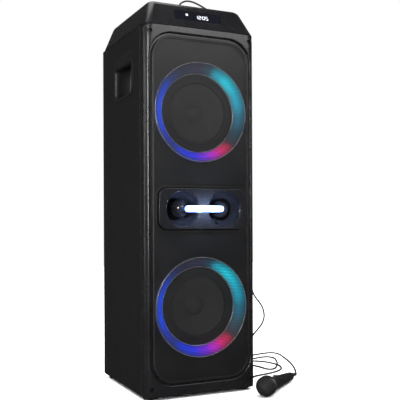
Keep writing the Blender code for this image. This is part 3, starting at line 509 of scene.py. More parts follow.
def hump(pts, d):
    """Lift the later strand where it passes over an earlier one."""
    lift = [0.0] * len(pts)
    s = [0.0]
    for i in range(1, len(pts)):
        s.append(s[-1] + (pts[i] - pts[i - 1]).length)
    for i in range(len(pts) - 1):
        if pts[i].z > 0.02:
            continue
        for j in range(i + 12, len(pts) - 1):
            if pts[j].z > 0.02:
                continue
            a, b, c, e = pts[i], pts[i + 1], pts[j], pts[j + 1]
            if (a - c).length > 0.03:
                continue
            r, q = b - a, e - c
            den = r.x * q.y - r.y * q.x
            if abs(den) < 1e-12:
                continue
            t = ((c.x - a.x) * q.y - (c.y - a.y) * q.x) / den
            u = ((c.x - a.x) * r.y - (c.y - a.y) * r.x) / den
            if 0 <= t < 1 and 0 <= u < 1:
                for k in range(len(pts)):
                    x = abs(s[k] - s[j]) / 0.045
                    if x < 1:
                        lift[k] = max(lift[k], (d + 0.0006) * 0.5 * (1 + math.cos(math.pi * x)) if x > 0.12 else d + 0.0006)
    return [p + Vector((0, 0, h)) for p, h in zip(pts, lift)]


def relax(pts, step=0.004, rounds=8, keep=5):
    """Evenly spaced points with their sharpest turns eased, the two ends left as they are."""
    s = [0.0]
    for a, b in zip(pts, pts[1:]):
        s.append(s[-1] + (b - a).length)
    n = int(s[-1] / step)
    out, j = [], 0
    for k in range(n + 1):
        t = s[-1] * k / n
        while j < len(s) - 2 and s[j + 1] < t:
            j += 1
        f = 0.0 if s[j + 1] == s[j] else (t - s[j]) / (s[j + 1] - s[j])
        out.append(pts[j].lerp(pts[j + 1], min(max(f, 0.0), 1.0)))
    for _ in range(rounds):
        new = list(out)
        for k in range(keep, n + 1 - keep):
            new[k] = out[k - 1] * 0.25 + out[k] * 0.5 + out[k + 1] * 0.25
        out = new
    return out


route = [Vector((p.x, p.y, max(p.z, HEX))) for p in relax(smooth_route(ROUTE))]
route = hump(route, CORD_D)
cord_curve = bpy.data.curves.new("cord", "CURVE")
cord_curve.dimensions = "3D"
cord_curve.bevel_depth = CORD_D / 2
cord_curve.bevel_resolution = 5
cord_curve.use_fill_caps = True
line_pts = route
sp = cord_curve.splines.new("POLY")
sp.points.add(len(line_pts) - 1)
for p, q in zip(sp.points, line_pts):
    p.co = (q.x, q.y, q.z, 1)
cord_curve.materials.append(M_CORD)
cord = bpy.data.objects.new("microphone_cord", cord_curve)
SCENE.collection.objects.link(cord)
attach(cord, "cabinet")
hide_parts("mic_cord")

# ------------------------------------------------------------------ bezel: a frame developed from its rounded plan
ARC = R_CORNER * math.pi / 2
XA = W / 2 - R_CORNER


def to_u(x):
    s, a = (1 if x >= 0 else -1), abs(x)
    return x if a <= XA else s * (XA + R_CORNER * math.asin(min((a - XA) / R_CORNER, 1.0)))


def bezel_point(u, z, h=0.0):
    """Point of the bezel's skin at developed distance u, sunk by h along its own normal."""
    s, a = (1 if u >= 0 else -1), abs(u)
    if a <= XA:
        return Vector((u, YF + h, z))
    if a <= XA + ARC:
        t = (a - XA) / R_CORNER
        r = R_CORNER - h
        return Vector((s * (XA + r * math.sin(t)), YF + R_CORNER - r * math.cos(t), z))
    return Vector((s * (W / 2 - h), YF + R_CORNER + (a - XA - ARC), z))


UMAX = XA + ARC + (BEZEL_D - R_CORNER)
zc, zh = (OPEN_Z0 + OPEN_Z1) / 2, (OPEN_Z1 - OPEN_Z0) / 2
zb0, zb1 = ZB, ZS - GAP
loop, nor = rr_loop(0, zc, OPEN_X, zh, OPEN_R, 20, 24)
EDGE_R = 0.0022
rows = [[], [], [], [], [], [], []]
verts, faces = [], []


def add_row(points):
    i = len(verts)
    verts.extend(points)
    return list(range(i, i + len(points)))


bez_rows = []
# pocket floor inwards, wall, rounded lip, then the face out to the edges
inner = []
for (x, z), (nx, nz) in zip(loop, nor):
    inner.append(Vector((x - nx * 0.0105, YF + 0.0050, z - nz * 0.0060)))
bez_rows.append(add_row([Vector((p.x, YF + 0.0290, p.z)) for p in inner]))
bez_rows.append(add_row([Vector((p.x, YF + 0.0052, p.z)) for p in inner]))
bez_rows.append(add_row([Vector((p.x + n[0] * 0.0003, YF + 0.0050, p.z + n[1] * 0.0003)) for p, n in zip(inner, nor)]))
bez_rows.append(add_row([Vector((x - nx * 0.0004, YF + 0.0050, z - nz * 0.0004)) for (x, z), (nx, nz) in zip(loop, nor)]))
bez_rows.append(add_row([Vector((x, YF + 0.0046, z)) for (x, z) in loop]))
LIP = 0.0034
for k in range(7):
    t = math.radians(90 * k / 6)
    o, h = LIP * (1 - math.cos(t)), EDGE_R * (1 - math.sin(t))
    bez_rows.append(add_row([bezel_point(to_u(x + nx * o), z + nz * o, h) for (x, z), (nx, nz) in zip(loop, nor)]))


def outer_match(x, z, nx, nz):
    """Where the ray from a point of the opening meets the developed outline."""
    u = to_u(x)
    best = 1e9
    if abs(nx) > 1e-6:
        best = min(best, ((UMAX if nx > 0 else -UMAX) - u) / nx)
    if abs(nz) > 1e-6:
        best = min(best, ((zb1 if nz > 0 else zb0) - z) / nz)
    return u + nx * best, z + nz * best


outer = [list(outer_match(x, z, nx, nz)) for (x, z), (nx, nz) in zip(loop, nor)]
for sx in (-1, 1):                      # one point of each corner sits in it
    for zz in (zb0, zb1):
        i = min(range(len(outer)), key=lambda k: (outer[k][0] - sx * UMAX) ** 2 + (outer[k][1] - zz) ** 2)
        outer[i] = [sx * UMAX, zz]
STEPS = 16
for k in range(1, STEPS + 1):
    s = k / STEPS
    row = []
    for (x, z), (nx, nz), (uo, zo) in zip(loop, nor, outer):
        u0, z0 = to_u(x + nx * LIP), z + nz * LIP
        u, zz = u0 + (uo - u0) * s, z0 + (zo - z0) * s
        edge = min(zz - zb0, zb1 - zz)
        h = 0.0011 * max(0.0, 1 - edge / 0.0011) ** 2
        row.append(bezel_point(u, zz, h))
    bez_rows.append(add_row(row))
back = [Vector((verts[i].x * 0.985, max(verts[i].y, YF + 0.0012) if abs(verts[i].x) < XA else verts[i].y, min(max(verts[i].z, zb0), zb1))) for i in bez_rows[-1]]
bez_rows.append(add_row([Vector((p.x, YF + BEZEL_D, p.z)) for p in back]))
bez_rows.append(add_row([Vector((p.x, YF + 0.0290, p.z)) for p in inner]))
n = len(loop)
for a, b in zip(bez_rows, bez_rows[1:]):
    for i in range(n):
        j = (i + 1) % n
        faces.append((a[i], a[j], b[j], b[i]))
bezel_me = fix_normals(mesh_of("bezel_frame", verts, faces), 1e-5)
SCREWS = (("top_left_screw", -0.1375, 0.9130), ("top_right_screw", 0.1375, 0.9130), ("bottom_left_screw", -0.1375, 0.0290), ("bottom_right_screw", 0.1375, 0.0290))
bores = [turned_mesh("bore", [(0.0, 0.02), (0.0056, 0.02), (0.0056, 0.0004), (0.0050, -0.0006), (0.0050, -0.0080), (0.0022, -0.0080), (0.0022, -0.0290), (0.0, -0.0290)],
                     (sx, YF, sz), FRONT, steps=48) for _, sx, sz in SCREWS]
bezel_me = boolean(bezel_me, bores)
bezel = add("bezel_frame", bezel_me, M_BEZEL, nodes=("front_bezel",), smooth=32)

web = flat("bezel_web", [rounded_rect(0, zc, 0.1310, zh - 0.0055, 0.0500, 12), circle(0, RING_Z["upper"], 0.1275, 128), circle(0, RING_Z["lower"], 0.1275, 128),
                         rounded_rect(0, PANEL_Z, 0.1120, 0.0475, 0.016, 8)], YF + 0.0056, YF + 0.0080, "XZ", M_MOULD, nodes=("front_bezel",))

# screw heads with a cross recess
for name, sx, sz in SCREWS:
    head = turned_mesh(name, from_front(fillet([(0.0, 0.0050), (0.0024, 0.0052), (0.0040, 0.0062), (0.0040, 0.0077), (0.0017, 0.0077), (0.0017, 0.0285), (0.0, 0.0290)], 0.0005, 3)), (sx, YF, sz), FRONT, steps=48)
    arms = []
    for k in range(2):
        a = math.radians(20 + 90 * k)
        mtx = Matrix.Translation((sx, YF + 0.0050, sz)) @ Matrix.Rotation(a, 4, "Y")
        arms.append(box_mesh("arm", (-0.0021, 0.0021), (-0.002, 0.0014), (-0.00042, 0.00042), matrix=mtx))
    add("head_" + name, boolean(head, arms), M_BLACKSTEEL, nodes=(name,), smooth=30)

# ------------------------------------------------------------------ grille: rolled border and a perforated sheet
gz, gh = (GRILLE_Z0 + GRILLE_Z1) / 2, (GRILLE_Z1 - GRILLE_Z0) / 2
PAN = (0.0, PANEL_Z, PANEL_X + 0.0012, PANEL_H + 0.0012, PANEL_R)


def rr_distance(x, z, cx, cz, hx, hz, r):
    qx, qz = abs(x - cx) - (hx - r), abs(z - cz) - (hz - r)
    return math.hypot(max(qx, 0), max(qz, 0)) + min(max(qx, qz), 0) - r


def xz(u, v, h):
    return Vector((u, YF + h, v))


PITCH, HOLE = 0.0044, 0.00162
verts, faces, index = [], [], {}


def vert(x, z):
    key = (round(x * 2e5), round(z * 2e5))
    if key not in index:
        index[key] = len(verts)
        verts.append((x, YF - 0.0036, z))
    return index[key]


row_h = PITCH * math.sqrt(3) / 2
R_HEX = PITCH / math.sqrt(3)
hexa = [(R_HEX * math.cos(math.radians(30 + 60 * k)), R_HEX * math.sin(math.radians(30 + 60 * k))) for k in range(6)]
hole = [(HOLE * math.cos(math.radians(30 + 30 * k)), HOLE * math.sin(math.radians(30 + 30 * k))) for k in range(12)]
n_rows = int(gh / row_h) + 1
n_cols = int(GRILLE_X / PITCH) + 2
for r in range(-n_rows, n_rows + 1):
    z = gz + r * row_h
    for c in range(-n_cols, n_cols + 1):
        x = (c + (0.5 if r % 2 else 0.0)) * PITCH
        if rr_distance(x, z, 0, gz, GRILLE_X, gh, GRILLE_R) > -0.0046 or rr_distance(x, z, *PAN) < 0.0042:
            continue
        hv = [vert(x + a, z + b) for a, b in hexa]
        base = len(verts)
        verts.extend((x + a, YF - 0.0036, z + b) for a, b in hole)
        cv = list(range(base, base + 12))
        for k in range(6):
            faces.append((hv[k], hv[(k + 1) % 6], cv[(2 * k + 2) % 12], cv[2 * k + 1], cv[2 * k]))
sheet = mesh_of("sheet", verts, faces)
loop, nor = rr_loop(0, gz, GRILLE_X, gh, GRILLE_R, 24)
border = sweep_mesh("border", loop, nor, fillet([(0.0, 0.0044), (0.0, -0.0040), (-0.0056, -0.0040), (-0.0060, -0.0034), (-0.0018, -0.0030), (-0.0018, 0.0044)], [0, 0.0026, 0.0004, 0, 0.0003, 0], 6), xz)
loop, nor = rr_loop(*PAN, 14)
border2 = sweep_mesh("border2", loop, nor, fillet([(0.0, 0.0044), (0.0, -0.0040), (0.0052, -0.0040), (0.0056, -0.0034), (0.0015, -0.0030), (0.0015, 0.0044)], [0, 0.0012, 0.0004, 0, 0.0003, 0], 5), xz)
grille = add("perforated_grille", join_mesh("perforated_grille", sheet, border, border2), M_GRILLE, nodes=("front_grille",), smooth=40)

# ------------------------------------------------------------------ ring lights
def lerp_stops(stops, t):
    t %= 12.0
    for (a, ca), (b, cb) in zip(stops, stops[1:]):
        if a <= t <= b:
            f = 0 if b == a else (t - a) / (b - a)
            f = f * f * (3 - 2 * f)
            return tuple(x * (1 - f) + y * f for x, y in zip(ca, cb))
    return stops[-1][1]


# clock position seen from the front: colour in linear light
STOPS = [
    (0.0, (0.020, 0.020, 0.055)), (0.45, (0.005, 0.06, 0.10)), (0.9, (0.0, 0.45, 0.62)), (1.4, (0.0, 0.75, 0.95)), (2.4, (0.0, 0.45, 0.66)), (3.2, (0.0, 0.16, 0.26)),
    (3.9, (0.0, 0.05, 0.08)), (4.35, (0.03, 0.02, 0.04)), (4.6, (0.55, 0.01, 0.06)), (4.95, (0.85, 0.01, 0.22)), (5.35, (0.62, 0.01, 0.75)), (5.8, (0.20, 0.01, 0.95)),
    (6.3, (0.02, 0.03, 1.0)), (6.9, (0.0, 0.04, 0.85)), (7.4, (0.01, 0.03, 0.30)), (7.8, (0.01, 0.04, 0.50)), (8.4, (0.0, 0.07, 0.95)), (9.3, (0.0, 0.08, 0.95)),
    (10.0, (0.0, 0.05, 0.62)), (10.6, (0.01, 0.03, 0.16)), (11.1, (0.012, 0.014, 0.05)), (12.0, (0.020, 0.020, 0.055))]

RING_PROFILE = fillet([(0.1270, 0.0012), (0.1268, 0.0100), (0.1150, 0.0200), (0.1040, 0.0272), (0.1000, 0.0272), (0.1000, 0.0240), (0.1120, 0.0140), (0.1240, 0.0022)], 0.0012, 3, closed=True)
for nme, z in RING_Z.items():
    c = (0, YF, z)
    me = turned_mesh(nme + "_ring_diffuser", from_front(RING_PROFILE), c, FRONT, closed=True, steps=144)
    col = me.color_attributes.new(name="glow", type="FLOAT_COLOR", domain="POINT")
    for v in me.vertices:
        dx, dz = v.co.x, v.co.z - z
        clock = (math.degrees(math.atan2(dx, dz)) % 360) / 30.0
        r = math.hypot(dx, dz)
        rgb = lerp_stops(STOPS, clock)
        s = 0.30 + 1.0 * math.exp(-((r - 0.110) / 0.010) ** 2)      # brightest towards its inner edge
        col.data[v.index].color = (rgb[0] * s, rgb[1] * s, rgb[2] * s, 1)
    ring = add(nme + "_ring_diffuser", me, M_RING, nodes=(nme + "_light_ring",), smooth=60)
    # thin bright-lacquered edges beside the diffuser
    turned(nme + "_ring_inner_trim", from_front(fillet([(0.0998, 0.0236), (0.0998, 0.0215), (0.1010, 0.0208), (0.1018, 0.0222), (0.1008, 0.0236)], 0.0004, 3, closed=True)), c, FRONT, M_TRIM, closed=True, steps=128)
    turned(nme + "_ring_outer_trim", from_front(fillet([(0.1268, 0.0010), (0.1268, -0.0004), (0.1256, -0.0010), (0.1246, 0.0002), (0.1250, 0.0014)], 0.0004, 3, closed=True)), c, FRONT, M_TRIM, closed=True, steps=128)
    # woofer
    turned(nme + "_surround_roll", from_front(fillet([(0.0980, 0.0224), (0.0980, 0.0241), (0.0842, 0.0241), (0.0800, 0.0205), (0.0765, 0.0255), (0.0752, 0.0255), (0.0760, 0.0200), (0.0800, 0.0176), (0.0840, 0.0200), (0.0852, 0.0224)], 0.0014, 4, closed=True)),
           c, FRONT, M_RUBBER, closed=True, steps=128, nodes=(nme + "_surround",))
    turned(nme + "_paper_cone", from_front(fillet([(0.0, 0.0370), (0.0100, 0.0380), (0.0180, 0.0410), (0.0245, 0.0470), (0.0262, 0.0478), (0.0520, 0.0370), (0.0735, 0.0240), (0.0745, 0.0240), (0.0745, 0.0262), (0.0530, 0.0392), (0.0182, 0.0560), (0.0182, 0.0760), (0.0172, 0.0760), (0.0172, 0.0540), (0.0, 0.0500)],
           [0, 0.02, 0.02, 0.003, 0.001, 0.03, 0.0008, 0.0004, 0.0004, 0.02, 0.002, 0.0003, 0.0003, 0.002, 0], 5)), c, FRONT, M_CONE, body=nme + "_cone", steps=128, nodes=(nme + "_cone",))

# ------------------------------------------------------------------ tweeter panel
panel = flat("tweeter_plate", [rounded_rect(0, PANEL_Z, PANEL_X, PANEL_H, PANEL_R, 16), circle(-HORN_X, PANEL_Z, HORN_R + 0.0004, 96), circle(HORN_X, PANEL_Z, HORN_R + 0.0004, 96)],
             YF - 0.0120, YF - 0.0046, "XZ", M_BEZEL, edge=0.0016, nodes=("tweeter_panel",), res=5)
loop, nor = rr_loop(0, PANEL_Z, PANEL_X - 0.0008, PANEL_H - 0.0008, PANEL_R - 0.0008, 16)
add("tweeter_plate_skirt", sweep_mesh("tweeter_plate_skirt", loop, nor, [(0.0, -0.0064), (0.0, 0.0045), (-0.0020, 0.0045), (-0.0020, -0.0064)], xz, True), M_MOULD, nodes=("tweeter_panel",))
# outline of an inner border line of the panel; nothing is built from it
loop, nor = rr_loop(0, PANEL_Z, PANEL_X - 0.0062, PANEL_H - 0.0052, PANEL_R - 0.006, 16)
for nme, sx in (("left", -1), ("right", 1)):
    c = (sx * HORN_X, YF, PANEL_Z)
    prof = fillet([(0.0456, -0.0060), (0.0457, -0.0108), (0.0450, -0.0114), (0.0438, -0.0104), (0.0432, -0.0010), (0.0404, 0.0090), (0.0296, 0.0268), (0.0178, 0.0342), (0.0175, 0.0410), (0.0140, 0.0410), (0.0142, 0.0350), (0.0270, 0.0290), (0.0410, 0.0110), (0.0450, 0.0)],
                  [0, 0.0005, 0.0005, 0.0005, 0.02, 0.02, 0.02, 0.004, 0.001, 0, 0.001, 0.01, 0.01, 0.002], 6)
    turned(nme + "_horn_mouth", from_front(prof), c, FRONT, M_GLOSS, steps=128, nodes=(nme + "_horn",), closed=True)
    bulb = [(0.0, -0.0075)] + [(0.0230 * math.cos(math.radians(90 - 8 * k)), 0.0155 - 0.0230 * math.sin(math.radians(90 - 8 * k))) for k in range(1, 20)]
    bulb += [(0.0080, 0.0386), (0.0060, 0.0395), (0.0060, 0.0414), (0.0310, 0.0414), (0.0310, 0.0660), (0.0, 0.0660)]
    turned(nme + "_phase_plug", from_front(bulb), c, FRONT, M_GLOSS, steps=96, nodes=(nme + "_tweeter",), smooth=30)
# the housing's glowing rim is a painted halo round the light bar
flat("light_bar_housing", [rounded_rect(0, PANEL_Z, 0.0540, 0.0082, 0.0081, 16)], YF - 0.0160, YF - 0.0123, "XZ", M_BAR_HALO_GLOW, edge=0.0012, nodes=("light_bar",), res=4)
flat("light_bar_lens", [rounded_rect(0, PANEL_Z, 0.0524, 0.0066, 0.0065, 16)], YF - 0.0180, YF - 0.0150, "XZ", M_BARGLOW, edge=0.0014, nodes=("light_bar",), res=5)

# ------------------------------------------------------------------ top moulding
def cap_block(name, inset, z0, z1, seg=12):
    hx0, hx1 = W / 2 + SIDE_SLOPE * (ZS - z0) / (ZT - ZS) - inset, W / 2 - SIDE_SLOPE * (z1 - ZS) / (ZT - ZS) - inset
    yb0, yb1 = YB + SIDE_SLOPE * (ZS - z0) / (ZT - ZS) - inset, YB - SIDE_SLOPE * (z1 - ZS) / (ZT - ZS) - inset
    yf0 = YF - SLOPE * (ZS - z0) / (ZT - ZS) + inset * 1.12
    yf1 = YF + SLOPE * (z1 - ZS) / (ZT - ZS) + inset * 1.12
    bm = bmesh.new()
    bmesh.ops.create_cube(bm, size=1.0)
    for v in bm.verts:
        top = v.co.z > 0
        v.co = Vector(((hx1 if top else hx0) * (1 if v.co.x > 0 else -1),
                       (yb1 if top else yb0) if v.co.y > 0 else (yf1 if top else yf0), z1 if top else z0))
    wl = bm.edges.layers.float.get("bevel_weight_edge") or bm.edges.layers.float.new("bevel_weight_edge")
    for e in bm.edges:
        a, b = e.verts[0].co, e.verts[1].co
        if abs(a.z - z0) < 1e-6 and abs(b.z - z0) < 1e-6:
            e[wl] = 0.0
        elif abs(a.z - z1) < 1e-6 and abs(b.z - z1) < 1e-6:
            e[wl] = 0.40 if (a.y < yf1 + 1e-6 and b.y < yf1 + 1e-6) else 0.60
        else:
            e[wl] = 0.667
    me = bpy.data.meshes.new(name)
    bm.to_mesh(me)
    bm.free()
    o = cutter(name, me)
    b = o.modifiers.new("edges", "BEVEL")
    b.limit_method, b.width, b.segments = "WEIGHT", (R_TOP if not inset else R_TOP - inset * 1.5), seg
    o.modifiers.new("flat_faces", "TRIANGULATE")
    bpy.context.view_layer.update()
    out = bpy.data.meshes.new_from_object(o.evaluated_get(bpy.context.evaluated_depsgraph_get()))
    bpy.data.objects.remove(o, do_unlink=True)
    return out


SL = Vector((0, SLOPE, ZT - ZS)).normalized()
SN = Vector((0, -SL.z, SL.y))
SLOPE_C = Vector((0, YF, ZS)) + SL * 0.0385
SLOPE_M = Matrix(((1, SL.x, SN.x, SLOPE_C.x), (0, SL.y, SN.y, SLOPE_C.y), (0, SL.z, SN.z, SLOPE_C.z), (0, 0, 0, 1)))
PX0, PX1, PY0, PY1 = -0.1050, 0.1050, -0.1060, 0.0820
plate_cut = flat_mesh("plate_cut", [rounded_rect((PX0 + PX1) / 2, (PY0 + PY1) / 2, (PX1 - PX0) / 2, (PY1 - PY0) / 2, 0.010, 10)], 0.90, 1.10, "XY")
disp_cut = flat_mesh("disp_cut", [rounded_rect(0, 0, 0.0660, 0.0165, 0.006, 8)], -0.02, 0.02, "XY", matrix=SLOPE_M)
cap_me = boolean(cap_block("cap", 0.0, ZS, ZT), [cap_block("cap_in", 0.004, ZS - 0.02, ZT - 0.0065, 8), plate_cut, disp_cut])
add("top_moulding", cap_me, M_BEZEL, nodes=("top_cap",), smooth=30)
# a fine rounded rim that catches the light round the control recess
loop, nor = rr_loop((PX0 + PX1) / 2, (PY0 + PY1) / 2, (PX1 - PX0) / 2, (PY1 - PY0) / 2, 0.010, 10)
add("control_recess_rim", sweep_mesh("control_recess_rim", loop, nor, fillet([(0.0002, -0.0006), (0.0002, 0.0004), (0.0022, 0.0004), (0.0028, -0.0002)], 0.0005, 4), lambda u, v, h: Vector((u, v, ZT + h))), M_BEZEL)
flat("display_panel", [rounded_rect(0, 0, 0.0657, 0.0162, 0.006, 10)], -0.0030, -0.0004, "XY", M_WINDOW, edge=0.0004, nodes=("display_window",), matrix=SLOPE_M)

# lit segments: four figures and a colon, and one small round indicator
SEG = {"a": (0, 1, "h"), "b": (1, 0.5, "v"), "c": (1, -0.5, "v"), "d": (0, -1, "h"), "e": (-1, -0.5, "v"), "f": (-1, 0.5, "v"), "g": (0, 0, "h")}
FIG = {"1": "bc", "2": "abged", "0": "abcdef", "8": "abcdefg", "5": "afgcd"}
digit_meshes = []


def segment(cx, cy, kind, hw, hh, t):
    sl = 0.10
    if kind == "h":
        p = [(-hw + t * 0.9, -t), (hw - t * 0.9, -t), (hw - t * 0.1, 0), (hw - t * 0.9, t), (-hw + t * 0.9, t), (-hw + t * 0.1, 0)]
    else:
        h = hh / 2
        p = [(-t, -h + t * 0.9), (0, -h + t * 0.1), (t, -h + t * 0.9), (t, h - t * 0.9), (0, h - t * 0.1), (-t, h - t * 0.9)]
    return [(cx + u + (cy + v) * sl, cy + v) for u, v in p]


DX, DY = 0.0100, -0.0004
for ch, ox in (("1", -0.0145), ("2", -0.0055), ("0", 0.0055), ("5", 0.0145)):
    for s in FIG[ch]:
        ix, iy, kind = SEG[s]
        lp = segment(ix * 0.0030, iy * 0.0052, kind, 0.0030, 0.0052, 0.00062)
        digit_meshes.append(flat_mesh("seg", [[(u + DX + ox, v + DY) for u, v in lp]], -0.00035, -0.00012, "XY", matrix=SLOPE_M))
for yy in (-0.0024, 0.0024):
    digit_meshes.append(flat_mesh("seg", [circle(DX, DY + yy, 0.0007, 16)], -0.00035, -0.00012, "XY", matrix=SLOPE_M))
add("display_figures", join_mesh("display_figures", *digit_meshes), M_DIGIT, smooth=0)
flat("display_indicator", [circle(-0.0305, 0.0045, 0.0036, 32)], -0.00035, -0.00012, "XY", M_DOT, matrix=SLOPE_M)

# ------------------------------------------------------------------ carried-over CAD nodes: welded, with finished materials
def finish_node(node, mat, edge=0.0, seg=2, angle=35, weld=True):
    o = NODES[node]
    if weld:
        w = o.modifiers.new("weld", "WELD")
        w.merge_threshold = 1e-6
    if edge:
        b = o.modifiers.new("edges", "BEVEL")
        b.limit_method, b.angle_limit = "ANGLE", math.radians(angle)
        b.width, b.segments, b.use_clamp_overlap = edge, seg, True
        b.harden_normals = False
    if not o.material_slots:
        o.data.materials.append(mat)
    for sl in o.material_slots:
        sl.link = "OBJECT"
        sl.material = mat
    return o


for nme in ("left_side_panel", "right_side_panel"):
    finish_node(nme, M_FOIL)
for nme in ("bottom_panel", "middle_shelf", "baffle_board"):
    finish_node(nme, M_BOARD)
finish_node("back_panel", M_FOIL)
for nme in ("upper_magnet", "lower_magnet", "transformer"):
    finish_node(nme, M_ZINC)
for nme in ("upper_woofer_basket", "lower_woofer_basket"):
    finish_node(nme, M_BLACKSTEEL)
finish_node("amplifier_board", M_PCB)

# ------------------------------------------------------------------ feet
for nme, fx, fy in (("front_left_foot", -1, -1), ("front_right_foot", 1, -1), ("rear_left_foot", -1, 1), ("rear_right_foot", 1, 1)):
    cx, cy = fx * (W / 2 - 0.024), (YF + 0.034 if fy < 0 else YB - 0.030)
    turned(nme + "_pad", fillet([(0.0, ZB - GAP), (0.0175, ZB - GAP), (0.0160, 0.0), (0.0060, 0.0), (0.0052, 0.0022), (0.0, 0.0022)], [0, 0.0006, 0.0012, 0.0004, 0.0004, 0], 4), (cx, cy, 0), UP, M_RUBBER, steps=64, nodes=(nme,))

# ------------------------------------------------------------------ handle cups
HY0, HY1, HZ0, HZ1 = -0.076, 0.073, 0.765, 0.884
yc, zcn, hy, hz = (HY0 + HY1) / 2, (HZ0 + HZ1) / 2, (HY1 - HY0) / 2, (HZ1 - HZ0) / 2
for side, sx in (("left", -1), ("right", 1)):
    xo = W / 2

    def xr(a, b):
        return tuple(sorted((sx * a, sx * b)))

    def tower(nm, loops_at):
        """Closed solid through rounded rectangles (x, half y, half z, radius, y centre, z centre), one after another."""
        vv, ff, prev = [], [], None
        for x, a, b, r, cy, cz in loops_at:
            lp = rounded_rect(cy, cz, a, b, r, 8)
            ids = list(range(len(vv), len(vv) + len(lp)))
            vv += [(sx * x, p, q) for p, q in lp]
            if prev:
                for i in range(len(ids)):
                    j = (i + 1) % len(ids)
                    ff.append((prev[i], prev[j], ids[j], ids[i]))
            prev = ids
        nn = len(rounded_rect(0, 0, 1, 1, 0.5, 8))
        ff.append(tuple(range(nn)))
        ff.append(tuple(range(len(vv) - nn, len(vv))))
        return fix_normals(mesh_of(nm, vv, ff))

    body = tower("cup", [(xo - 0.0500, hy - 0.0064, hz - 0.0064, 0.0235, yc, zcn), (xo - 0.0480, hy - 0.0044, hz - 0.0044, 0.0255, yc, zcn), (xo + 0.0003, hy - 0.0044, hz - 0.0044, 0.0255, yc, zcn),
                         (xo + 0.00031, hy, hz, 0.030, yc, zcn), (xo + 0.0008, hy, hz, 0.030, yc, zcn), (xo + 0.0013, hy - 0.0004, hz - 0.0004, 0.0296, yc, zcn), (xo + 0.0015, hy - 0.0010, hz - 0.0010, 0.029, yc, zcn)])
    mz0, mz1 = HZ0 + 0.011, 0.8530
    mzc, mzh = (mz0 + mz1) / 2, (mz1 - mz0) / 2
    mouth = tower("mouth", [(xo - 0.020, hy - 0.011, mzh, 0.007, yc, mzc), (xo - 0.0022, hy - 0.011, mzh, 0.008, yc, mzc), (xo - 0.0008, hy - 0.0104, mzh + 0.0006, 0.0086, yc, mzc),
                            (xo + 0.0006, hy - 0.0090, mzh + 0.0018, 0.010, yc, mzc), (xo + 0.0016, hy - 0.0072, mzh + 0.0034, 0.012, yc, mzc), (xo + 0.02, hy - 0.0072, mzh + 0.0034, 0.012, yc, mzc)])
    inner = tower("inner", [(xo - 0.0472, hy - 0.0125, hz - 0.0125, 0.012, yc, zcn), (xo - 0.0452, hy - 0.0098, hz - 0.0098, 0.015, yc, zcn), (xo - 0.0410, hy - 0.0085, hz - 0.0085, 0.016, yc, zcn),
                            (xo - 0.0135, hy - 0.0085, hz - 0.0085, 0.016, yc, zcn), (xo - 0.0125, hy - 0.0092, hz - 0.0092, 0.015, yc, zcn)])
    add(side + "_carry_handle", boolean(body, [mouth, inner]), M_MOULD, nodes=(side + "_handle_cup",), smooth=32)

# ------------------------------------------------------------------ controls on top
KNOBS = (("volume_knob", -0.060, -0.010, 0.0190), ("mic_level_knob", -0.072, 0.050, 0.0110), ("echo_knob", -0.034, 0.050, 0.0110))
BUTTONS = (("power_button", -0.080), ("mode_button", -0.040), ("previous_button", 0.0), ("next_button", 0.040), ("lights_button", 0.080))
BUTTON_Y = -0.072
SOCKETS = (("mic_socket_1", PLUG_XY[0], PLUG_XY[1]), ("mic_socket_2", 0.066, 0.050))
USB = (0.050, -0.012)
loops = [rounded_rect((PX0 + PX1) / 2, (PY0 + PY1) / 2, (PX1 - PX0) / 2 - GAP, (PY1 - PY0) / 2 - GAP, 0.010, 10)]
for nme, bx in BUTTONS:
    loops.append(rounded_rect(bx, BUTTON_Y, 0.0125, 0.0065, 0.0018, 5))
for nme, kx, ky, kr in KNOBS:
    loops.append(circle(kx, ky, 0.0042, 32))
for nme, kx, ky in SOCKETS:
    loops.append(circle(kx, ky, 0.0082, 48))
loops.append(rounded_rect(USB[0], USB[1], 0.0095, 0.0055, 0.0008, 3))
flat("control_panel", loops, PLATE_Z - 0.0030, PLATE_Z, "XY", M_PLATE, edge=0.0003, nodes=("control_plate",), res=2)

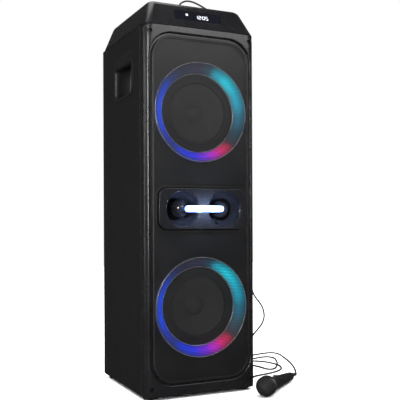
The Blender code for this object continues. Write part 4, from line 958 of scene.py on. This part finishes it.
for nme, kx, ky, kr in KNOBS:
    big = kr > 0.015
    h = 0.0150 if big else 0.0130
    z = PLATE_Z
    prof = fillet([(0.0, z + h - 0.0006), (kr * 0.80, z + h - 0.0004), (kr * 0.86, z + h), (kr * 0.95, z + h - 0.0010), (kr * 0.985, z + 0.0030), (kr, z + 0.0026), (kr, z + 0.0006), (kr * 0.80, z + 0.0004), (0.0035, z + 0.0004), (0.0035, z - 0.0140), (0.0, z - 0.0140)],
                  [0, 0.0006, 0.0005, 0.0010, 0.0004, 0.0004, 0.0004, 0.0004, 0, 0, 0], 5)
    steps = 192 if big else 144
    me = turned_mesh(nme + "_cap", prof, (kx, ky, 0), UP, steps=steps)
    ribs = 36 if big else 24
    for v in me.vertices:                       # finger flutes on the side only
        dx, dy = v.co.x - kx, v.co.y - ky
        r = math.hypot(dx, dy)
        if r > kr * 0.90 and z + 0.0036 < v.co.z < z + h - 0.0012:
            f = 0.5 - 0.5 * math.cos(ribs * math.atan2(dy, dx))
            k = 1 - 0.045 * f ** 2
            v.co.x, v.co.y = kx + dx * k, ky + dy * k
    me.update()
    line = box_mesh("line", (kx - 0.0009, kx + 0.0009), (ky - kr * 0.84, ky - kr * 0.25), (z + h - 0.0011, z + h + 0.01))
    add(nme + "_cap", boolean(me, [line]), M_KNOB, body=nme, nodes=(nme,), smooth=32)
    add(nme + "_pointer", box_mesh(nme + "_pointer", (kx - 0.0007, kx + 0.0007), (ky - kr * 0.82, ky - kr * 0.27), (z + h - 0.0015, z + h - 0.0006), 0.0001, 2), M_PRINT, body=nme, smooth=35)
    # scale of short marks printed round the knob
    marks = []
    for k in range(11):
        a = math.radians(-90 - 135 + 27 * k)
        r0, r1 = kr + 0.0022, kr + (0.0050 if k in (0, 5, 10) else 0.0038)
        t = 0.00035
        ux, uy = math.cos(a), math.sin(a)
        a = math.radians(-90) - (math.radians(135) - math.radians(27 * k))
        ux, uy = math.cos(a + math.pi), math.sin(a + math.pi)
        ux, uy = -ux, -uy
        marks.append(mesh_of("mark", [(kx + ux * r0 - uy * t, ky + uy * r0 + ux * t, z + 0.00006), (kx + ux * r0 + uy * t, ky + uy * r0 - ux * t, z + 0.00006),
                                      (kx + ux * r1 + uy * t, ky + uy * r1 - ux * t, z + 0.00006), (kx + ux * r1 - uy * t, ky + uy * r1 + ux * t, z + 0.00006)], [(0, 1, 2, 3)]))
    add(nme + "_scale", join_mesh(nme + "_scale", *marks), M_PRINT, smooth=0)


def print_on(nm, polys, zz, body):
    """Thin printed marks from closed outlines."""
    ms = [flat_mesh("ink", [p] if not isinstance(p[0][0], (tuple, list)) else list(p), zz, zz + 0.00004, "XY") for p in polys]
    return add(nm, join_mesh(nm, *ms), M_PRINT, body=body, smooth=0)


def arc_band(cx, cy, r0, r1, a0, a1, n=20):
    o = [(cx + r1 * math.cos(math.radians(a0 + (a1 - a0) * k / n)), cy + r1 * math.sin(math.radians(a0 + (a1 - a0) * k / n))) for k in range(n + 1)]
    i = [(cx + r0 * math.cos(math.radians(a0 + (a1 - a0) * k / n)), cy + r0 * math.sin(math.radians(a0 + (a1 - a0) * k / n))) for k in range(n, -1, -1)]
    return o + i


for nme, bx in BUTTONS:
    x, y, z = (bx - 0.0120, bx + 0.0120), (BUTTON_Y - 0.0060, BUTTON_Y + 0.0060), (PLATE_Z - 0.0060, PLATE_Z + 0.0022)
    me = flat_mesh(nme + "_cap", [rounded_rect(bx, BUTTON_Y, 0.0120, 0.0060, 0.0016, 6)], z[0], z[1], "XY", 0.0007, res=4)
    add(nme + "_cap", me, M_BUTTON, body=nme, nodes=(nme,), smooth=35)
    zt, by = z[1] + 0.00002, BUTTON_Y
    if nme == "power_button":
        ink = [arc_band(bx, by, 0.0019, 0.0024, 125, 415), [(bx - 0.00025, by + 0.0010), (bx + 0.00025, by + 0.0010), (bx + 0.00025, by + 0.0029), (bx - 0.00025, by + 0.0029)]]
    elif nme == "mode_button":
        ink = [[(bx - 0.0024, by + q - 0.00028), (bx + 0.0024, by + q - 0.00028), (bx + 0.0024, by + q + 0.00028), (bx - 0.0024, by + q + 0.00028)] for q in (-0.0016, 0.0, 0.0016)]
    elif nme == "previous_button":
        ink = [[(bx - 0.0026, by - 0.0018), (bx - 0.0021, by - 0.0018), (bx - 0.0021, by + 0.0018), (bx - 0.0026, by + 0.0018)], [(bx - 0.0019, by), (bx + 0.0003, by - 0.0018), (bx + 0.0003, by + 0.0018)], [(bx + 0.0004, by), (bx + 0.0026, by - 0.0018), (bx + 0.0026, by + 0.0018)]]
    elif nme == "next_button":
        ink = [[(bx + 0.0026, by - 0.0018), (bx + 0.0026, by + 0.0018), (bx + 0.0021, by + 0.0018), (bx + 0.0021, by - 0.0018)], [(bx + 0.0019, by), (bx - 0.0003, by + 0.0018), (bx - 0.0003, by - 0.0018)], [(bx - 0.0004, by), (bx - 0.0026, by + 0.0018), (bx - 0.0026, by - 0.0018)]]
    else:
        ink = [circle(bx, by, 0.0012, 24)] + [[(bx + math.cos(t) * 0.0018 - math.sin(t) * 0.0002, by + math.sin(t) * 0.0018 + math.cos(t) * 0.0002), (bx + math.cos(t) * 0.0018 + math.sin(t) * 0.0002, by + math.sin(t) * 0.0018 - math.cos(t) * 0.0002),
                                               (bx + math.cos(t) * 0.0028 + math.sin(t) * 0.0002, by + math.sin(t) * 0.0028 - math.cos(t) * 0.0002), (bx + math.cos(t) * 0.0028 - math.sin(t) * 0.0002, by + math.sin(t) * 0.0028 + math.cos(t) * 0.0002)]
                                              for t in (math.radians(45 * k) for k in range(8))]
    print_on(nme + "_symbol", ink, zt, nme)

for nme, kx, ky in SOCKETS:
    z = PLATE_Z
    turned(nme + "_bush", fillet([(0.0060, z + 0.0014), (0.0075, z + 0.0008), (0.0078, z - 0.0200), (0.0048, z - 0.0300), (0.0034, z - 0.0300), (0.0034, z + 0.0006), (0.0040, z + 0.0014)], 0.0003, 3, closed=True), (kx, ky, 0), UP, M_NICKEL, closed=True, steps=96, nodes=(nme,))
usb_shell = boolean(box_mesh("usb", (USB[0] - 0.0090, USB[0] + 0.0090), (USB[1] - 0.0050, USB[1] + 0.0050), (PLATE_Z - 0.0160, PLATE_Z + 0.0004), 0.0006, 3),
                    [box_mesh("usb_in", (USB[0] - 0.0064, USB[0] + 0.0064), (USB[1] - 0.0026, USB[1] + 0.0026), (PLATE_Z - 0.0150, PLATE_Z + 0.01))])
add("usb_receptacle", usb_shell, M_NICKEL, nodes=("usb_socket",), smooth=30)
add("usb_tongue", box_mesh("usb_tongue", (USB[0] - 0.0056, USB[0] + 0.0056), (USB[1] + 0.0003, USB[1] + 0.0021), (PLATE_Z - 0.0149, PLATE_Z - 0.0030), 0.0002, 2), M_PRINT, smooth=30)
for k in range(4):
    x = USB[0] - 0.0036 + 0.0024 * k
    add("usb_contact_%d" % k, box_mesh("c", (x - 0.0005, x + 0.0005), (USB[1] + 0.0001, USB[1] + 0.0004), (PLATE_Z - 0.0140, PLATE_Z - 0.0040), 0.00008, 2), M_BRASS, smooth=30)

# ------------------------------------------------------------------ rear
flat("rear_terminal_plate", [rounded_rect(0.0, 0.150, 0.080, 0.060, 0.008, 8), rounded_rect(-0.040, 0.128, 0.0136, 0.0086, 0.0008, 3), rounded_rect(0.020, 0.128, 0.0105, 0.0075, 0.0008, 3)],
     0.1723, 0.1745, "XZ", M_PLATE, edge=0.0005, nodes=("rear_plate",))
inlet = boolean(box_mesh("inlet", (-0.0532, -0.0268), (0.1520, 0.1743), (0.1198, 0.1362), 0.0005, 3), [box_mesh("in", (-0.0500, -0.0300), (0.1600, 0.19), (0.1230, 0.1330), 0.0042, 5)])
add("mains_socket", inlet, M_MOULD, nodes=("mains_inlet",), smooth=30)
for k, x in enumerate((-0.0443, -0.0357)):
    turned("mains_pin_%d" % k, fillet([(0.0, 0.0105), (0.0012, 0.0100), (0.0012, 0.0), (0.0, 0.0)], 0.0004, 3), (x, 0.1600, 0.1280), (0, 1, 0), M_BRASS, steps=32)
ry, rz, ra = 0.1660, 0.128, math.radians(-5)
lp = fillet([(0.0082, 0.0062), (0.0074, 0.0), (0.0082, -0.0062), (0.0, -0.0058), (0.0, 0.0058)], [0.0008, 0.006, 0.0008, 0.0005, 0.0005], 6, closed=True)
flat("mains_rocker", [[(ry + u * math.cos(ra) - v * math.sin(ra), rz + u * math.sin(ra) + v * math.cos(ra)) for u, v in lp]], 0.0102, 0.0298, "YZ", M_BUTTON, body="power_rocker", edge=0.0003, nodes=("power_rocker",), smooth=30)
for k, (x, z) in enumerate(((-0.072, 0.202), (0.072, 0.202), (-0.072, 0.098), (0.072, 0.098))):
    head = turned_mesh("rear_screw", fillet([(0.0, 0.0012), (0.0018, 0.0011), (0.0032, 0.0002), (0.0032, 0.0), (0.0, 0.0)], 0.0004, 3), (x, 0.1745, z), (0, 1, 0), steps=40)
    arms = [box_mesh("arm", (-0.0017, 0.0017), (-0.0004, 0.002), (-0.00035, 0.00035), matrix=Matrix.Translation((x, 0.1749, z)) @ Matrix.Rotation(math.radians(35 * k + 90 * q), 4, "Y")) for q in range(2)]
    add("rear_plate_screw_%d" % k, boolean(head, arms), M_BLACKSTEEL, smooth=30)
# cooling slots pressed in the plate above the inlet, as raised ribs
for k in range(9):
    x = -0.056 + 0.014 * k
    add("rear_rib_%d" % k, flat_mesh("rear_rib", [rounded_rect(x, 0.176, 0.0032, 0.0190, 0.0031, 6)], 0.1743, 0.1754, "XZ", 0.0005), M_PLATE, smooth=30)
PORT_R = 0.0330
for nme, z in (("upper", 0.560), ("lower", 0.340)):
    turned(nme + "_port_tube", fillet([(PORT_R + 0.0024, -0.0700), (PORT_R + 0.0024, -0.1723), (PORT_R + 0.0100, -0.1723), (PORT_R + 0.0088, -0.1750), (PORT_R + 0.0040, -0.1757), (PORT_R - 0.0005, -0.1690), (PORT_R - 0.0005, -0.0700)], [0, 0.0003, 0.0006, 0.0012, 0.003, 0.004, 0], 6, closed=True),
           (0, 0, z), FRONT, M_MOULD, closed=True, steps=112, nodes=(nme + "_bass_port",))
for k, (x, z) in enumerate([(sx * 0.128, zz) for sx in (-1, 1) for zz in (0.030, 0.330, 0.620, 0.910)] + [(0.0, 0.910), (0.0, 0.030)]):
    head = turned_mesh("back_screw", fillet([(0.0, 0.0013), (0.0020, 0.0012), (0.0036, 0.0002), (0.0036, 0.0), (0.0, 0.0)], 0.0004, 3), (x, 0.1720, z), (0, 1, 0), steps=40)
    arms = [box_mesh("arm", (-0.0019, 0.0019), (-0.0004, 0.002), (-0.00038, 0.00038), matrix=Matrix.Translation((x, 0.1724, z)) @ Matrix.Rotation(math.radians(23 * k + 90 * q), 4, "Y")) for q in range(2)]
    add("back_screw_%d" % k, boolean(head, arms), M_BLACKSTEEL, smooth=30)

# ------------------------------------------------------------------ microphone
def along(nm, profile, mat, nodes=(), closed=False, steps=96, body="cabinet", smooth=40):
    me = turned_mesh(nm, profile, (0, 0, 0), UP, closed, steps)
    me.transform(MIC_Q)
    return add(nm, me, mat, body, smooth, nodes)


foam = [(0.0, -0.0236)] + [(0.0236 * math.cos(math.radians(-90 + 10 * k)), 0.0236 * math.sin(math.radians(-90 + 10 * k))) for k in range(1, 12)] + [(0.0218, 0.0180), (0.0, 0.0190)]
along("mic_foam", foam, M_FOAM, nodes=("mic_head",))
# woven wire ball: two families of crossing wires
wire_cu = bpy.data.curves.new("mic_wires", "CURVE")
wire_cu.dimensions = "3D"
wire_cu.bevel_depth = 0.00026
wire_cu.bevel_resolution = 1


def ball_radius(h):
    """Radius of the wire head at height h along the microphone."""
    if h <= 0.0085:
        return math.sqrt(max(0.0247 ** 2 - h * h, 0))
    t = (h - 0.0135) / 0.0065
    return 0.0246 if t < 0 else 0.0250 - 0.0027 * t


N_MER = 64
for k in range(N_MER):
    a = 2 * math.pi * k / N_MER
    sp = wire_cu.splines.new("POLY")
    hs = [0.0247 * math.sin(math.radians(-90 + x)) for x in ([14, 20, 26] if k % 2 else [4, 10, 17, 25]) + list(range(33, 112, 6))]
    sp.points.add(len(hs) - 1)
    for i, (p, h) in enumerate(zip(sp.points, hs)):
        r = ball_radius(h) + 0.00018 * (1 if (i + k) % 2 else -1)
        q = MIC_Q @ Vector((r * math.cos(a), r * math.sin(a), h))
        p.co = (q.x, q.y, q.z, 1)
for e in list(range(6, 112, 5)):
    h = 0.0247 * math.sin(math.radians(-90 + e))
    sp = wire_cu.splines.new("POLY")
    m = 64
    sp.points.add(m - 1)
    for i, p in enumerate(sp.points):
        a = 2 * math.pi * i / m
        r = ball_radius(h) + 0.00018 * (1 if (i + e) % 2 else -1)
        q = MIC_Q @ Vector((r * math.cos(a), r * math.sin(a), h))
        p.co = (q.x, q.y, q.z, 1)
    sp.use_cyclic_u = True
wire_cu.materials.append(M_MESH)
wires = bpy.data.objects.new("mic_wire_ball", wire_cu)
SCENE.collection.objects.link(wires)
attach(wires, "cabinet")
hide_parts("mic_head")
along("mic_head_band", fillet([(0.0236, 0.0086), (0.0249, 0.0090), (0.0256, 0.0098), (0.0256, 0.0132), (0.0249, 0.0140), (0.0236, 0.0144)], 0.0004, 3), M_MESH, nodes=("mic_head",), closed=True)
along("mic_head_neck", fillet([(0.0252, 0.0138), (0.0222, 0.0199), (0.0, 0.0200), (0.0, 0.0138)], [0.0003, 0.0006, 0, 0], 4), M_MESH, nodes=("mic_head",))
hprof = fillet([(0.0, 0.0203), (0.0203, 0.0203), (0.0215, 0.0222), (0.0215, 0.0245), (0.0192, 0.0325), (0.0171, 0.0500), (0.0150, 0.1000), (0.0125, 0.1600), (0.0111, 0.1880), (0.0095, 0.1920), (0.0, 0.1920)],
               [0, 0.0006, 0.0008, 0.002, 0.02, 0.03, 0.05, 0.05, 0.002, 0.001, 0], 5)
hme = turned_mesh("mic_body", hprof, (0, 0, 0), UP, steps=112)
up_local = MIC_Q.to_3x3().inverted() @ Vector((0, 0, 1))
SW = Matrix.Rotation(math.atan2(up_local.y, up_local.x), 4, "Z")
slot_cut = box_mesh("slot", (0.0130, 0.03), (-0.0040, 0.0040), (0.0560, 0.0760), 0.0008, 3, matrix=SW)
hme = boolean(hme, [slot_cut])
# ribbed boot at the tail
boot = [(0.0, 0.1921), (0.0082, 0.1921), (0.0066, 0.1936)]
for k in range(7):
    h = 0.1950 + 0.0036 * k
    r = 0.0064 - 0.0002 * k
    boot += [(r, h), (r, h + 0.0018), (r - 0.0012, h + 0.0021), (r - 0.0012, h + 0.0033)]
boot += [(0.0048, 0.1950 + 0.0036 * 7), (0.0046, mic_len), (0.0, mic_len)]
boot = fillet(boot, [0, 0.0004, 0.0006] + [0.0004] * 28 + [0.0003, 0.0003, 0], 3)
along("mic_boot", boot, M_RUBBER, nodes=("mic_handle",))
hme.transform(MIC_Q)
add("mic_body", hme, M_MOULD, nodes=("mic_handle",), smooth=32)
sme = box_mesh("mic_slide", (0.0134, 0.0196), (-0.0036, 0.0036), (0.0610, 0.0710), 0.0007, 3)
ridges = [box_mesh("ridge", (0.0190, 0.021), (-0.005, 0.005), (0.0626 + 0.0018 * k - 0.0003, 0.0626 + 0.0018 * k + 0.0003)) for k in range(5)]
sme = boolean(sme, ridges)
sme.transform(MIC_Q @ SW)
add("mic_slide", sme, M_NICKEL, body="mic_switch", nodes=("mic_switch",), smooth=30)
px, py = PLUG_XY
z = PLATE_Z
pprof = fillet([(0.0, z + 0.0470), (0.0028, z + 0.0470), (0.0034, z + 0.0400), (0.0037, z + 0.0360), (0.0060, z + 0.0350), (0.0068, z + 0.0335), (0.0068, z + 0.0040), (0.0060, z + 0.0020), (0.0031, z + 0.0020), (0.0031, z - 0.0250), (0.0012, z - 0.0280), (0.0, z - 0.0280)],
               [0, 0.0006, 0.001, 0.001, 0.0006, 0.0006, 0.0008, 0.0006, 0.0003, 0.001, 0.0006, 0], 4)
plug_me = turned_mesh("mic_jack", pprof, (px, py, 0), UP, steps=96)
for v in plug_me.vertices:                      # fine grip ribs on the barrel
    if z + 0.006 < v.co.z < z + 0.032:
        dx, dy = v.co.x - px, v.co.y - py
        k = 1 - 0.03 * (0.5 - 0.5 * math.cos(32 * math.atan2(dy, dx)))
        v.co.x, v.co.y = px + dx * k, py + dy * k
plug_me.update()
add("mic_jack", plug_me, M_MOULD, nodes=("mic_plug",), smooth=35)

# ------------------------------------------------------------------ studio: floor, light
fm, fnt, fb, ftc = nodes_of("pale_floor")
fb.inputs["Specular IOR Level"].default_value = 0.25
fn = noise(fnt, ftc, 1.2, 2.0, 0.5)
fnt.links.new(mix_rgb(fnt, ramp(fnt, fn.outputs["Fac"], 0.0, 1.0), (0.92, 0.92, 0.92), (0.94, 0.94, 0.94)), fb.inputs["Base Color"])
fnt.links.new(ramp(fnt, fn.outputs["Fac"], 0.55, 0.65), fb.inputs["Roughness"])
floor_me = mesh_of("studio_floor", [(-4.2, -3.9, 0), (4.8, -3.9, 0), (4.8, 5.1, 0), (-4.2, 5.1, 0)], [(0, 1, 2, 3)])
floor_me.materials.append(fm)
floor = bpy.data.objects.new("studio_floor", floor_me)
SCENE.collection.objects.link(floor)
floor.visible_glossy = False        # black gloss sides would mirror the whole pale floor

world = bpy.data.worlds.new("studio")
SCENE.world = world
world.use_nodes = True
wn = world.node_tree
bg = wn.nodes["Background"]
bg.inputs["Color"].default_value = (1, 1, 1, 1)
# a white backdrop to the camera, dim soft light to everything else
lpath = wn.nodes.new("ShaderNodeLightPath")
wmix = wn.nodes.new("ShaderNodeMapRange")
wmix.inputs["To Min"].default_value = 0.05
wmix.inputs["To Max"].default_value = 1.0
wn.links.new(lpath.outputs["Is Camera Ray"], wmix.inputs["Value"])
wn.links.new(wmix.outputs["Result"], bg.inputs["Strength"])
SCENE.view_settings.view_transform = "Standard"
SCENE.view_settings.look = "None"


def area(name, pos, target, size, power, color=(1, 1, 1)):
    d = bpy.data.lights.new(name, "AREA")
    d.shape = "RECTANGLE"
    d.size, d.size_y = size
    d.energy = power
    d.color = color
    o = bpy.data.objects.new(name, d)
    SCENE.collection.objects.link(o)
    o.matrix_world = Matrix.Translation(pos) @ (Vector(target) - Vector(pos)).to_track_quat("-Z", "Y").to_matrix().to_4x4()
    return o


top = area("top_soft", (0.3, 0.6, 4.5), (0.3, 0.61, 0.0), (10.0, 10.0), 1550)
top.visible_glossy = False
area("roof_sheen", (0.0, 0.3, 2.6), (0, 0.1, 1.0), (1.2, 0.8), 9)
area("front_right_high", (1.05, -2.25, 1.86), (0, -0.16, 0.93), (1.5, 0.62), 19)
area("left_edge_strip", (-1.22, -2.08, 0.95), (-0.143, -0.158, 0.65), (0.10, 0.95), 44)
glow = area("bar_spill", (0, YF - 0.040, PANEL_Z), (0, YF, PANEL_Z), (0.095, 0.008), 1.1, (0.46, 0.62, 1.0))
glow.visible_camera = False
glow.visible_glossy = False
area("handle_glint", (-2.5, -0.8, 1.2), (-0.155, 0.0, 0.85), (0.3, 0.3), 3)
area("left_strip", (-2.2, -0.05, 0.9), (-0.155, -0.15, 0.6), (0.10, 1.5), 6)
